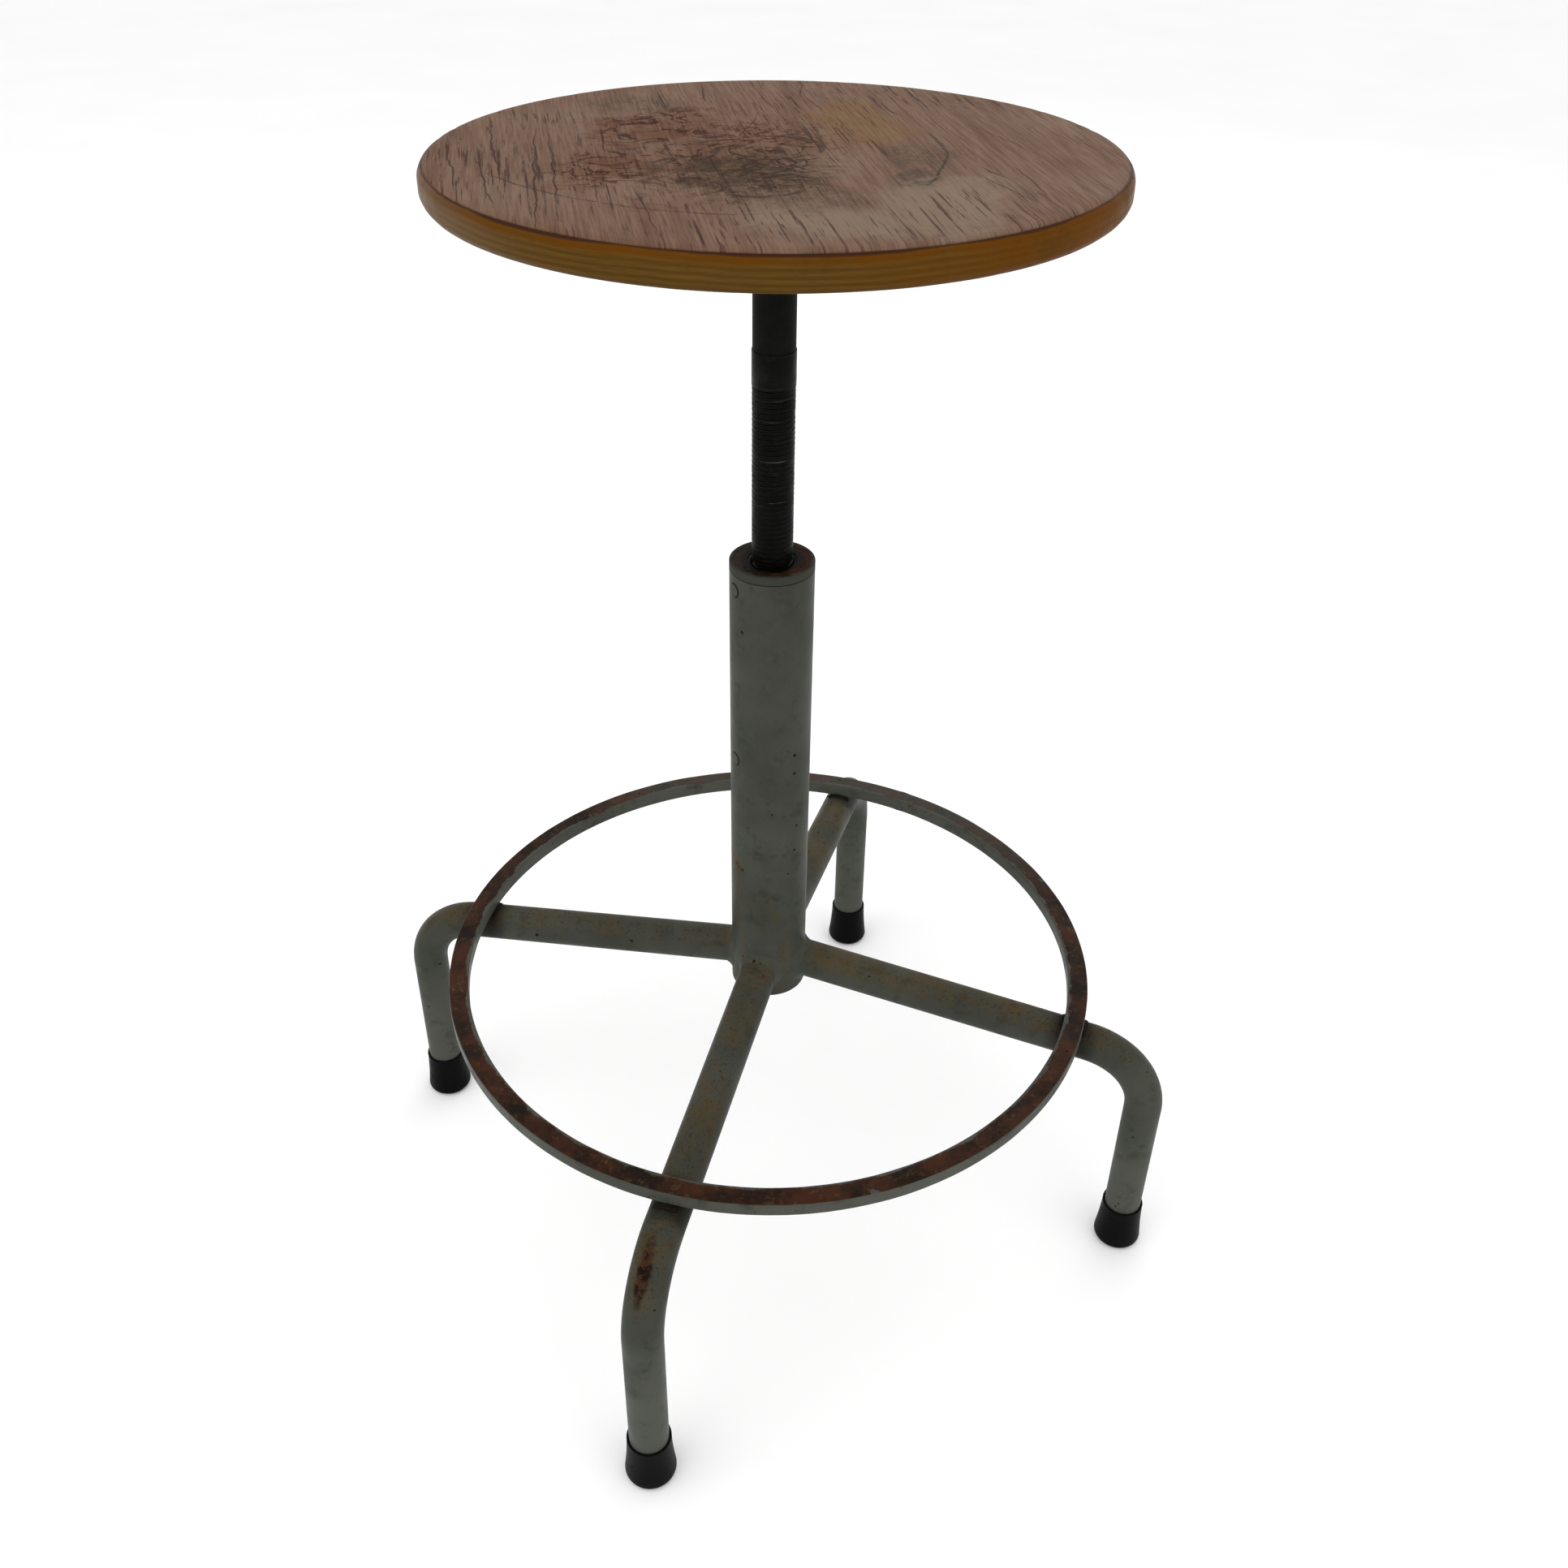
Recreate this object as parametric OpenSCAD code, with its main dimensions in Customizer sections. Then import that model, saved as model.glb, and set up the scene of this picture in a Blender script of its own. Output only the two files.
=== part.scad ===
// Adjustable swivel stool: a round plywood seat on a screw spindle, carried by a
// column with four bent tube legs, a flat bar foot ring and rubber ferrules.
// Millimetres, +Z up. The origin is on the floor, on the spindle's axis.
// The legs stand on -Y (front), +X (right), +Y (back) and -X (left).
// The thread is right-handed: turning the seat anticlockwise from above raises it.

/* [Seat] */
// Diameter of the seat board
seat_d = 350; // [300:5:420]
// Height of the seat's top above the floor, as stored
seat_top_z = 732.5; // [690:0.5:880]
// Thickness of the plywood core
core_t = 17; // [14:0.5:24]
// Thickness of the facing veneer on the core
veneer_t = 1.5; // [0.6:0.1:3]
// Radius of the seat's upper and lower edges
seat_edge_r = 7; // [2:0.5:9]

/* [Seat fixing] */
// Diameter of the steel plate under the seat
plate_d = 120; // [90:1:180]
// Thickness of the plate
plate_t = 4; // [3:0.5:6]
// Wall of the hub under the plate
hub_wall = 7.25; // [4:0.25:10]
// Height of the hub
hub_h = 22; // [16:1:32]
// Diameter of the cross pin that locks the hub to the spindle
hub_pin_d = 6; // [4:0.5:8]
// Size of the fillet weld between the hub and the plate
hub_weld_leg = 4; // [2:0.5:6]
// Number of wood screws through the plate
screw_count = 4; // [3:1:8]
// Diameter of the circle that the screws stand on
screw_circle_d = 92; // [70:1:100]
// Diameter of a screw's shank
screw_d = 4.5; // [3.5:0.5:6]
// Diameter of a screw's countersunk head
screw_head_d = 9; // [7:0.5:11]
// Length that a screw enters the core
screw_grip = 12; // [8:0.5:13]

/* [Spindle] */
// Major diameter of the screw thread
thread_d = 24; // [20:0.5:30]
// Pitch of the thread, which is the rise in one turn
thread_pitch = 3; // [2:0.5:4]
// Depth of the thread
thread_depth = 1.5; // [0.8:0.1:1.8]
// How much less radius the plain neck has than the thread
neck_relief = 0.25; // [0.1:0.05:1]
// Length of the neck below the seat board
neck_drop = 82; // [60:1:110]
// How much more radius the plain band has than the thread
band_step = 0.2; // [0.1:0.05:0.5]
// Length of the plain band
band_len = 20; // [10:1:40]
// Whole turns that the seat can rise from its stored height
turns_up = 15; // [5:1:25]

/* [Stop] */
// Radial clearance of the stop washer in the column
stop_washer_gap = 1.5; // [1:0.25:4]
// Thickness of the stop washer
stop_washer_t = 4; // [2.5:0.5:6]
// Thread diameter of the bolt that holds the stop washer
stop_bolt_d = 10; // [8:1:12]
// Width across the flats of the bolt's head
stop_bolt_flats = 17; // [13:1:19]
// Thickness of the bolt's head
stop_head_t = 6.4; // [5:0.1:8]
// Length of the bolt inside the spindle
stop_bolt_grip = 22; // [14:1:40]

/* [Column] */
// Outer diameter of the column tube
column_d = 50; // [44:0.5:60]
// Wall of the column tube
column_wall = 2.5; // [2:0.1:3.5]
// Length of the column tube
column_len = 314.5; // [290:0.5:330]
// How far the column tube reaches below the meeting point of the legs' centrelines
column_tail = 22.5; // [18:0.5:60]
// Thickness of the nut's flange on top of the column
flange_t = 5; // [3:0.5:10]
// Length of the nut's body inside the column
nut_body_h = 35; // [25:1:60]
// Depth of the countersink in the nut's top
countersink_h = 3; // [1:0.5:5]
// Drop from the column's top to the middle of the guide bush
bush_drop = 127; // [90:1:140]
// Length of the guide bush
bush_h = 20; // [16:1:40]
// Diameter of the retaining pins
pin_d = 8; // [5:0.5:10]
// Length of a pin in the nut or the bush
pin_bite = 5; // [3:0.5:7]
// Drop from the column's top to the upper pins
pin_drop = 9.4; // [8:0.1:20]
// Direction of the visible pins, in degrees from +X
pin_azimuth = -135; // [-170:5:-100]
// How far the pins stand proud of the column
pin_proud = 0.3; // [0.1:0.1:1]
// Thickness of the cap in the column's lower end
cap_t = 4; // [2:0.5:8]

/* [Legs] */
// Outer diameter of a leg tube
leg_d = 25; // [20:0.5:30]
// Wall of a leg tube
leg_wall = 2; // [1.5:0.1:3]
// Distance from the stool's axis to a leg's upright
leg_reach = 265; // [240:1:330]
// Height at which a leg's centreline would meet the stool's axis
leg_root_z = 211; // [208:0.5:260]
// Slope of a leg's upper run, in degrees
leg_slope = 7.5; // [4:0.5:9]
// Centreline radius of a leg's bend
bend_r = 50; // [38:1:60]
// How much the tube's wall swells, inside and outside, through the bend
bend_swell = 0.05; // [0.04:0.01:0.1]
// Size of the weld bead between a leg and the column
leg_weld = 4; // [2:0.5:6]

/* [Foot ring] */
// Distance from the foot ring's outer edge to the start of the legs' bends
ring_inset = 4; // [0:0.5:40]
// Width of the ring's bar
ring_w = 13; // [10:0.5:20]
// Thickness of the ring's bar
ring_t = 10; // [6:0.5:14]
// Corner radius of the ring's bar
ring_corner = 1.3; // [0.5:0.1:2.5]
// Width of the weld under the ring on each leg
ring_weld_w = 19; // [14:0.5:22]

/* [Feet] */
// Height of a rubber ferrule
ferrule_h = 36; // [30:1:50]
// Wall at a ferrule's top
ferrule_top_wall = 1.5; // [1:0.25:4]
// Wall at a ferrule's base
ferrule_base_wall = 3.75; // [2:0.25:8]
// Radius of a ferrule's lower edge
ferrule_edge_r = 4.5; // [2:0.5:6]
// Rubber under the leg
ferrule_floor = 8; // [5:0.5:12]
// Thickness of the steel washer in a ferrule
foot_washer_t = 2; // [1:0.5:3]

/* [Fits] */
// Radial clearance of the spindle in the nut and the guide bush
running_gap = 0.05; // [0.02:0.01:0.1]
// Radial clearance of pieces that are pressed, pinned or pushed together
fixed_gap = 0.02; // [0:0.01:0.05]
// Axial clearance on each side of the stop washer
washer_gap = 0.3; // [0.2:0.05:0.5]
// Clearance left between the stop washer and the guide bush at full height
stop_gap = 0.5; // [0.3:0.1:2]
// Radial clearance of the bolt in the stop washer
bolt_gap = 0.5; // [0.3:0.1:1]

/* [Hidden] */
$fn = 96;
// Overrun that makes a cut pass clear through a face
cut = 1;
leg_names = ["front", "right", "back", "left"];
// Direction of each leg, in degrees from +X, in the order of leg_names
leg_azimuths = [-90, 0, 90, 180];

seat_t = core_t + veneer_t;
seat_low_z = seat_top_z - seat_t;
edge_r = min(seat_edge_r, seat_t / 2 - 0.5);
column_low_z = leg_root_z - column_tail;
column_top_z = column_low_z + column_len;
bush_z = column_top_z - bush_drop;

neck_d = thread_d - 2 * neck_relief;
band_d = thread_d + 2 * band_step;
hub_d = neck_d + 2 * hub_wall;
plate_low_z = seat_low_z - plate_t;
hub_low_z = plate_low_z - hub_h;
screw_head_h = (screw_head_d - screw_d) / 2;

neck_low_z = seat_low_z - neck_drop;
thread_top_z = neck_low_z - band_len;
bush_low_z = bush_z - bush_h / 2;
nut_low_z = column_top_z - nut_body_h;
flange_top_z = column_top_z + flange_t;
spindle_top_z = seat_low_z - 0.5;
spindle_low_z = bush_low_z - stop_gap - turns_up * thread_pitch + washer_gap;
washer_top_z = spindle_low_z - washer_gap;
washer_low_z = washer_top_z - stop_washer_t;
bolt_head_top_z = washer_low_z - washer_gap;

column_bore_r = column_d / 2 - column_wall;
spindle_bore_r = thread_d / 2 + running_gap;

// A leg's straight run falls outward, and its upright hangs from the end of the bend.
bend_angle = 90 - leg_slope;
bend_tangent = bend_r * tan(bend_angle / 2);
corner_z = leg_root_z - leg_reach * tan(leg_slope);
bend_start_x = leg_reach - bend_tangent * cos(leg_slope);
bend_start_z = corner_z + bend_tangent * sin(leg_slope);
bend_end_z = corner_z - bend_tangent;
run_len = bend_start_x / cos(leg_slope);
leg_foot_z = ferrule_floor + foot_washer_t;
ferrule_top_r = leg_d / 2 + ferrule_top_wall;
ferrule_base_r = leg_d / 2 + ferrule_base_wall;

ring_out_r = bend_start_x - ring_inset;
ring_in_r = ring_out_r - ring_w;
// The ring lies on the legs where its inner edge crosses them.
ring_low_z = leg_root_z - ring_in_r * tan(leg_slope) + leg_d / 2 / cos(leg_slope);

// Points of an arc round a centre, from one angle to another
function arc(x, y, r, from, to, steps = 6) =
    [for (i = [0:steps]) let (a = from + (to - from) * i / steps) [x + r * cos(a), y + r * sin(a)]];

// Outline of the seat from its axis to its rounded edge, as radius and height
function seat_outline() = concat(
    [[0, seat_low_z]],
    arc(seat_d / 2 - edge_r, seat_low_z + edge_r, edge_r, -90, 0),
    arc(seat_d / 2 - edge_r, seat_top_z - edge_r, edge_r, 0, 90),
    [[0, seat_top_z]]
);

// Crests and roots of the thread as rings, from its top down, as radius and height
function thread_outline(top, low) = [
    for (i = [0:floor((top - low) / thread_pitch) - 1])
        let (z = top - i * thread_pitch)
        each [
            [thread_d / 2, z],
            [thread_d / 2 - thread_depth, z - thread_pitch * 3 / 8],
            [thread_d / 2, z - thread_pitch * 3 / 4]
        ]
];

module ring_of(outer_r, inner_r, low, high) {
    translate([0, 0, low])
        difference() {
            cylinder(r = outer_r, h = high - low);
            translate([0, 0, -cut])
                cylinder(r = inner_r, h = high - low + 2 * cut);
        }
}

// The seat board's shape between two heights
module seat_slice(low, high) {
    intersection() {
        rotate_extrude()
            polygon(seat_outline());
        translate([0, 0, low])
            cylinder(d = seat_d + 2 * cut, h = high - low);
    }
}

// Repeats a piece at each wood screw
module at_screws() {
    for (i = [0:screw_count - 1])
        rotate(45 + i * 360 / screw_count)
            translate([screw_circle_d / 2, 0, 0])
                children();
}

// A countersunk screw, larger all round by a gap when it is used as a cutter
module wood_screw(gap = 0) {
    translate([0, 0, plate_low_z])
        cylinder(r1 = screw_head_d / 2 + gap, r2 = screw_d / 2 + gap, h = screw_head_h);
    translate([0, 0, plate_low_z])
        cylinder(r = screw_d / 2 + gap, h = plate_t + screw_grip + gap);
}

// Repeats a piece on both ends of the line that the retaining pins lie on
module at_pins(z) {
    for (turn = [0, 180])
        rotate(pin_azimuth + turn)
            translate([0, 0, z])
                rotate([0, 90, 0])
                    children();
}

module pin_cutter(z) {
    at_pins(z)
        translate([0, 0, column_bore_r - pin_bite - fixed_gap])
            cylinder(r = pin_d / 2 + fixed_gap, h = column_wall + pin_bite + 2 * cut);
}

module pin_pair(z) {
    intersection() {
        at_pins(z)
            translate([0, 0, column_bore_r - pin_bite])
                cylinder(d = pin_d, h = column_wall + pin_bite + 2 * cut);
        translate([0, 0, z - pin_d])
            cylinder(r = column_d / 2 + pin_proud, h = 2 * pin_d);
    }
}

// Turns a piece drawn along +X to a leg's direction
module to_leg(i) {
    rotate(leg_azimuths[i])
        children();
}

// Places a solid drawn up +Z along a leg's sloping run
module along_run() {
    translate([0, 0, leg_root_z])
        rotate([0, 90 + leg_slope, 0])
            children();
}

module tube_section(swell = 0) {
    difference() {
        circle(r = leg_d / 2 + swell);
        circle(r = leg_d / 2 - leg_wall - swell);
    }
}

module leg_run() {
    difference() {
        along_run()
            linear_extrude(run_len)
                tube_section();
        translate([0, 0, column_low_z])
            cylinder(d = column_d, h = column_top_z - column_low_z);
    }
}

module leg_bend() {
    translate([leg_reach - bend_r, 0, bend_end_z])
        rotate([90, 0, 0])
            rotate_extrude(angle = bend_angle)
                translate([bend_r, 0])
                    tube_section(bend_swell);
}

module leg_upright() {
    translate([leg_reach, 0, leg_foot_z])
        linear_extrude(bend_end_z - leg_foot_z)
            tube_section();
}

module leg(i) {
    color("#474a44")
        to_leg(i) {
            leg_run();
            leg_bend();
            leg_upright();
        }
}

// A bead that fills the corner where a leg's tube meets the column
module leg_weld_bead() {
    difference() {
        intersection() {
            along_run()
                cylinder(r = leg_d / 2 + leg_weld, h = column_d / 2 + 3 * leg_weld);
            translate([0, 0, column_low_z])
                cylinder(r = column_d / 2 + leg_weld, h = column_top_z - column_low_z);
        }
        along_run()
            cylinder(d = leg_d, h = column_d);
        translate([0, 0, column_low_z - cut])
            cylinder(d = column_d, h = column_top_z - column_low_z);
    }
}

// Weld metal between the ring's underside and the round top of a leg
module ring_weld_bead() {
    difference() {
        translate([ring_in_r + ring_corner, -ring_weld_w / 2, ring_low_z - leg_d / 3])
            cube([ring_w - 2 * ring_corner, ring_weld_w, leg_d / 3]);
        along_run()
            cylinder(d = leg_d, h = run_len);
    }
}

module ferrule(i) {
    color("#1b1b1a")
        to_leg(i)
            translate([leg_reach, 0, 0])
                difference() {
                    rotate_extrude()
                        polygon(concat(
                            [[0, 0]],
                            arc(ferrule_base_r - ferrule_edge_r, ferrule_edge_r, ferrule_edge_r, -90, 0),
                            [[ferrule_top_r, ferrule_h], [0, ferrule_h]]
                        ));
                    translate([0, 0, ferrule_floor])
                        cylinder(r = leg_d / 2 + fixed_gap, h = ferrule_h);
                }
}

module seat_core() {
    color("#8a5a2b")
        difference() {
            seat_slice(seat_low_z, seat_low_z + core_t);
            at_screws()
                wood_screw(fixed_gap);
        }
}

module seat_veneer() {
    color("#6f5746")
        seat_slice(seat_low_z + core_t, seat_top_z);
}

module seat_plate() {
    color("#3c3c38")
        difference() {
            ring_of(plate_d / 2, neck_d / 2 + fixed_gap, plate_low_z, seat_low_z);
            at_screws()
                wood_screw(fixed_gap);
        }
}

module seat_hub() {
    color("#3c3c38")
        difference() {
            ring_of(hub_d / 2, neck_d / 2 + fixed_gap, hub_low_z, plate_low_z);
            translate([-hub_d, 0, hub_low_z + hub_h / 2])
                rotate([0, 90, 0])
                    cylinder(r = hub_pin_d / 2 + fixed_gap, h = 2 * hub_d);
        }
}

module hub_weld() {
    color("#2e2e2b")
        rotate_extrude()
            polygon([
                [hub_d / 2, plate_low_z],
                [hub_d / 2, plate_low_z - hub_weld_leg],
                [hub_d / 2 + hub_weld_leg, plate_low_z]
            ]);
}

module hub_pin() {
    color("#55554f")
        translate([-hub_d / 2, 0, hub_low_z + hub_h / 2])
            rotate([0, 90, 0])
                cylinder(d = hub_pin_d, h = hub_d);
}

module seat_screws() {
    color("#77756c")
        at_screws()
            wood_screw();
}

// The screw rod: neck, plain band and thread in one turned piece
module spindle() {
    color("#2b2a26")
        difference() {
            rotate_extrude()
                polygon(concat(
                    [[0, spindle_top_z], [neck_d / 2, spindle_top_z], [neck_d / 2, neck_low_z]],
                    [[band_d / 2, neck_low_z], [band_d / 2, thread_top_z], [thread_d / 2, thread_top_z]],
                    thread_outline(thread_top_z - thread_pitch / 4, spindle_low_z + thread_pitch),
                    [[thread_d / 2 - thread_depth, spindle_low_z], [0, spindle_low_z]]
                ));
            translate([0, 0, spindle_low_z - cut])
                cylinder(r = stop_bolt_d / 2 + fixed_gap, h = stop_bolt_grip + fixed_gap + cut);
            translate([-neck_d, 0, hub_low_z + hub_h / 2])
                rotate([0, 90, 0])
                    cylinder(r = hub_pin_d / 2 + fixed_gap, h = 2 * neck_d);
        }
}

module stop_bolt() {
    color("#4b4a45") {
        translate([0, 0, bolt_head_top_z - stop_head_t])
            cylinder(d = stop_bolt_flats / cos(30), h = stop_head_t, $fn = 6);
        translate([0, 0, bolt_head_top_z])
            cylinder(d = stop_bolt_d, h = spindle_low_z + stop_bolt_grip - bolt_head_top_z);
    }
}

module stop_washer() {
    color("#5a5952")
        ring_of(column_bore_r - stop_washer_gap, stop_bolt_d / 2 + bolt_gap, washer_low_z, washer_top_z);
}

// The nut that carries the spindle, with a flange on the column's top and a countersunk mouth
module top_nut() {
    color("#5b4334")
        difference() {
            union() {
                translate([0, 0, nut_low_z])
                    cylinder(r = column_bore_r - fixed_gap, h = nut_body_h);
                translate([0, 0, column_top_z])
                    cylinder(d = column_d, h = flange_t);
            }
            translate([0, 0, nut_low_z - cut])
                cylinder(r = spindle_bore_r, h = nut_body_h + flange_t + 2 * cut);
            translate([0, 0, flange_top_z - countersink_h])
                cylinder(r1 = spindle_bore_r, r2 = spindle_bore_r + countersink_h, h = countersink_h);
            pin_cutter(column_top_z - pin_drop);
        }
}

// The lower bearing that keeps the spindle upright
module guide_bush() {
    color("#5c5648")
        difference() {
            ring_of(column_bore_r - fixed_gap, spindle_bore_r, bush_low_z, bush_low_z + bush_h);
            pin_cutter(bush_z);
        }
}

module upper_pins() {
    color("#4a4d46")
        pin_pair(column_top_z - pin_drop);
}

module lower_pins() {
    color("#4a4d46")
        pin_pair(bush_z);
}

module column_tube() {
    color("#474a44")
        difference() {
            ring_of(column_d / 2, column_bore_r, column_low_z, column_top_z);
            pin_cutter(column_top_z - pin_drop);
            pin_cutter(bush_z);
        }
}

module bottom_cap() {
    color("#3a3b37")
        translate([0, 0, column_low_z])
            cylinder(r = column_bore_r - fixed_gap, h = cap_t);
}

module leg_welds() {
    color("#3f413b")
        for (i = [0:3])
            to_leg(i)
                leg_weld_bead();
}

module foot_ring() {
    color("#5a4032")
        rotate_extrude()
            polygon(concat(
                arc(ring_out_r - ring_corner, ring_low_z + ring_corner, ring_corner, -90, 0, 3),
                arc(ring_out_r - ring_corner, ring_low_z + ring_t - ring_corner, ring_corner, 0, 90, 3),
                arc(ring_in_r + ring_corner, ring_low_z + ring_t - ring_corner, ring_corner, 90, 180, 3),
                arc(ring_in_r + ring_corner, ring_low_z + ring_corner, ring_corner, 180, 270, 3)
            ));
}

module ring_welds() {
    color("#33312c")
        for (i = [0:3])
            to_leg(i)
                ring_weld_bead();
}

module ferrule_washers() {
    color("#66655e")
        for (i = [0:3])
            to_leg(i)
                translate([leg_reach, 0, ferrule_floor])
                    cylinder(d = leg_d, h = foot_washer_t);
}

seat_core();
seat_veneer();
seat_plate();
seat_hub();
hub_weld();
hub_pin();
seat_screws();
spindle();
stop_bolt();
stop_washer();
top_nut();
guide_bush();
upper_pins();
lower_pins();
column_tube();
bottom_cap();
for (i = [0:3])
    leg(i);
leg_welds();
foot_ring();
ring_welds();
for (i = [0:3])
    ferrule(i);
ferrule_washers();
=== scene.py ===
"""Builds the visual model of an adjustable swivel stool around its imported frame.

The frame holds the stool's pieces in metres, +Z up, with the spindle on the Z axis and the legs
on -Y (front), +X (right), +Y (back) and -X (left). Each operator below makes one piece, or one
group of like pieces, and gives it its finish.
"""

from math import atan2, cos, exp, pi, radians, sin, sqrt, tan

import bmesh
import bpy
from bpy.props import FloatProperty, FloatVectorProperty, IntProperty, PointerProperty
from mathutils import Matrix, Vector, noise


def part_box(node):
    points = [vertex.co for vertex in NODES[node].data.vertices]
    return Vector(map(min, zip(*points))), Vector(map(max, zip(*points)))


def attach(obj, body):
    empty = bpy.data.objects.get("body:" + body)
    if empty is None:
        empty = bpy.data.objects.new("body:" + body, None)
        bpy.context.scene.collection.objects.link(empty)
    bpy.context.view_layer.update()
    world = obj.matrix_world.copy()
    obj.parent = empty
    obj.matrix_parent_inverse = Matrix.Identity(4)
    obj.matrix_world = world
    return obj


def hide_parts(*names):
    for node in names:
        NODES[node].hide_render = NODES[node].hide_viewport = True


bl_info = {
    "name": "Swivel Stool",
    "version": (1, 0, 0),
    "blender": (4, 5, 0),
    "location": "View3D > Sidebar > Stool",
    "description": "Builds an adjustable swivel stool with worn paint, rust and a cracked seat",
    "category": "Add Mesh",
}

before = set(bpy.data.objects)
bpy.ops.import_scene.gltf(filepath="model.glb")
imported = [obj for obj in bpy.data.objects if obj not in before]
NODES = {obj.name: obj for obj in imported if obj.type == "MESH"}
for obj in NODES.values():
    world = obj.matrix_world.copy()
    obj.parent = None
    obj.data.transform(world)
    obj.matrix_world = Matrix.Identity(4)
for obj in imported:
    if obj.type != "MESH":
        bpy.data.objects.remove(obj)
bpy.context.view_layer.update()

MM = 0.001
UP = Vector((0, 0, 1))
LEG_TURNS = {"front": -90, "right": 0, "back": 90, "left": 180}

SEAT_LOW, SEAT_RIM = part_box("seat_core")
FACING_LOW, FACING_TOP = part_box("seat_veneer")
COLUMN_LOW, COLUMN_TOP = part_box("column_tube")
NUT_LOW, NUT_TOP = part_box("top_nut")
SPINDLE_LOW, SPINDLE_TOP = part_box("spindle")
RING_LOW, RING_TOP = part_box("foot_ring")
PLATE_LOW, PLATE_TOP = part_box("seat_plate")
HUB_LOW, HUB_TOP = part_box("seat_hub")
SCREWS_LOW, SCREWS_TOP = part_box("seat_screws")
FERRULE_LOW, FERRULE_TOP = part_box("ferrule_right")


def linear(red, green, blue):
    """A colour given as 0 to 255 screen values, as the linear values that shaders take."""
    steps = [value / 255 for value in (red, green, blue)]
    return tuple(s / 12.92 if s <= 0.04045 else ((s + 0.055) / 1.055) ** 2.4 for s in steps)


def colour(name, description, red, green, blue):
    return FloatVectorProperty(
        name=name,
        description=description,
        subtype="COLOR",
        size=3,
        min=0.0,
        max=1.0,
        default=linear(red, green, blue),
    )


def length(name, description, millimetres):
    return FloatProperty(
        name=name,
        description=description,
        unit="LENGTH",
        subtype="DISTANCE",
        min=0.0,
        precision=5,
        default=millimetres * MM,
    )


class StoolSizes(bpy.types.PropertyGroup):
    """Sizes of the details that the frame leaves out."""

    seat_edge: length("Seat edge", "Radius of the seat's rounded edges", 7)
    ply: length("Ply", "Thickness of one ply in the seat board", 1.55)
    facing_wear: length("Facing wear", "How far the facing's rim is worn back in places", 1.3)
    thread_pitch: length("Thread pitch", "Rise of the thread in one turn", 3)
    thread_depth: length("Thread depth", "Depth of the thread's groove", 1.5)
    band: length("Plain band", "Length of the plain band above the thread", 20)
    neck: length("Neck", "Length of the narrow neck under the seat", 81.5)
    neck_step: length("Neck step", "How much narrower the neck is than the band", 0.45)
    grease: length("Grease", "How far grease fills the thread above the nut", 103)
    ring_corner: length("Ring corner", "Corner radius of the foot ring's bar", 1.3)
    screw_head: length("Screw head", "Radius of a screw's head", 4.5)
    screw_shank: length("Screw shank", "Radius of a screw's shank", 2.25)
    weld: length("Weld", "Width of the weld between a leg and the column", 4.5)
    leg_radius: length("Leg radius", "Outer radius of a leg tube", 12.5)
    leg_root: length("Leg root", "Height where a leg's centreline meets the axis", 211)
    leg_slope: FloatProperty(
        name="Leg slope",
        description="Fall of a leg's upper run",
        subtype="ANGLE",
        default=radians(7.5),
    )
    bead_steps: IntProperty(
        name="Bead steps",
        description="Number of steps round a weld bead",
        min=24,
        default=120,
    )


class StoolColours(bpy.types.PropertyGroup):
    """Colours of the finishes."""

    paint: colour("Paint", "Grey-green enamel", 72, 74, 67)
    # the darker enamel, used more higher up the stool
    paint_dark: colour("Dull paint", "Enamel where it is dirty", 54, 56, 49)
    ochre: colour("Rust stain", "Thin rust over the enamel", 78, 59, 24)
    rust: colour("Rust", "Solid brown rust", 56, 30, 17)
    rust_dark: colour("Dark rust", "Old rust that is nearly black", 22, 14, 9)
    # also the painted shade on the legs beside the foot ring
    soot_and_shade: colour("Soot", "Burnt dirt beside the welds", 20, 20, 16)
    oily: colour("Oily steel", "Black greasy steel", 5, 5, 4)
    neck: colour("Neck steel", "Dull steel of the neck", 19, 19, 15)
    crest: colour("Thread crest", "Steel rubbed bright on the thread's crests", 26, 25, 22)
    bare: colour("Bare steel", "Dull bare steel", 76, 74, 70)
    rubber: colour("Rubber", "Black moulded rubber", 8, 8, 9)
    dust: colour("Dust", "Dust on the rubber", 30, 30, 29)
    facing: colour("Facing", "Worn face veneer", 110, 85, 69)
    facing_dark: colour("Facing shade", "Darker grain of the face veneer", 88, 63, 50)
    crack: colour("Crack", "Dark red-brown cracks along the grain", 50, 29, 21)
    scuff: colour("Scuff", "Rubbed red-brown strokes", 88, 55, 36)
    grime: colour("Grime", "Dark grime in the middle of the seat", 52, 42, 33)
    yellowed: colour("Yellowed", "Patch of yellowed varnish", 108, 80, 44)
    # also a painted sheen of reflected light on the seat's facing
    pale_and_sheen: colour("Pale", "Rubbed pale patch", 118, 100, 84)
    ply_light: colour("Light ply", "Light plies on the seat's edge", 96, 70, 28)
    ply_dark: colour("Dark ply", "Dark plies on the seat's edge", 70, 48, 16)
    # also the painted highlight along the seat's rounded upper edge
    varnish_and_highlight: colour("Varnish", "Orange varnish on the edge", 90, 50, 4)
    floor: colour("Floor", "Pale studio floor", 250, 250, 250)


def sizes():
    return bpy.context.scene.stool_sizes


def colours():
    return bpy.context.scene.stool_colours


# ---------------------------------------------------------------- mesh helpers


def arc(across, height, radius, start, end, steps=8):
    """Points of an arc as (across, height), with angles in degrees."""
    angles = [radians(start + (end - start) * i / steps) for i in range(steps + 1)]
    return [(across + radius * cos(a), height + radius * sin(a)) for a in angles]


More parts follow.
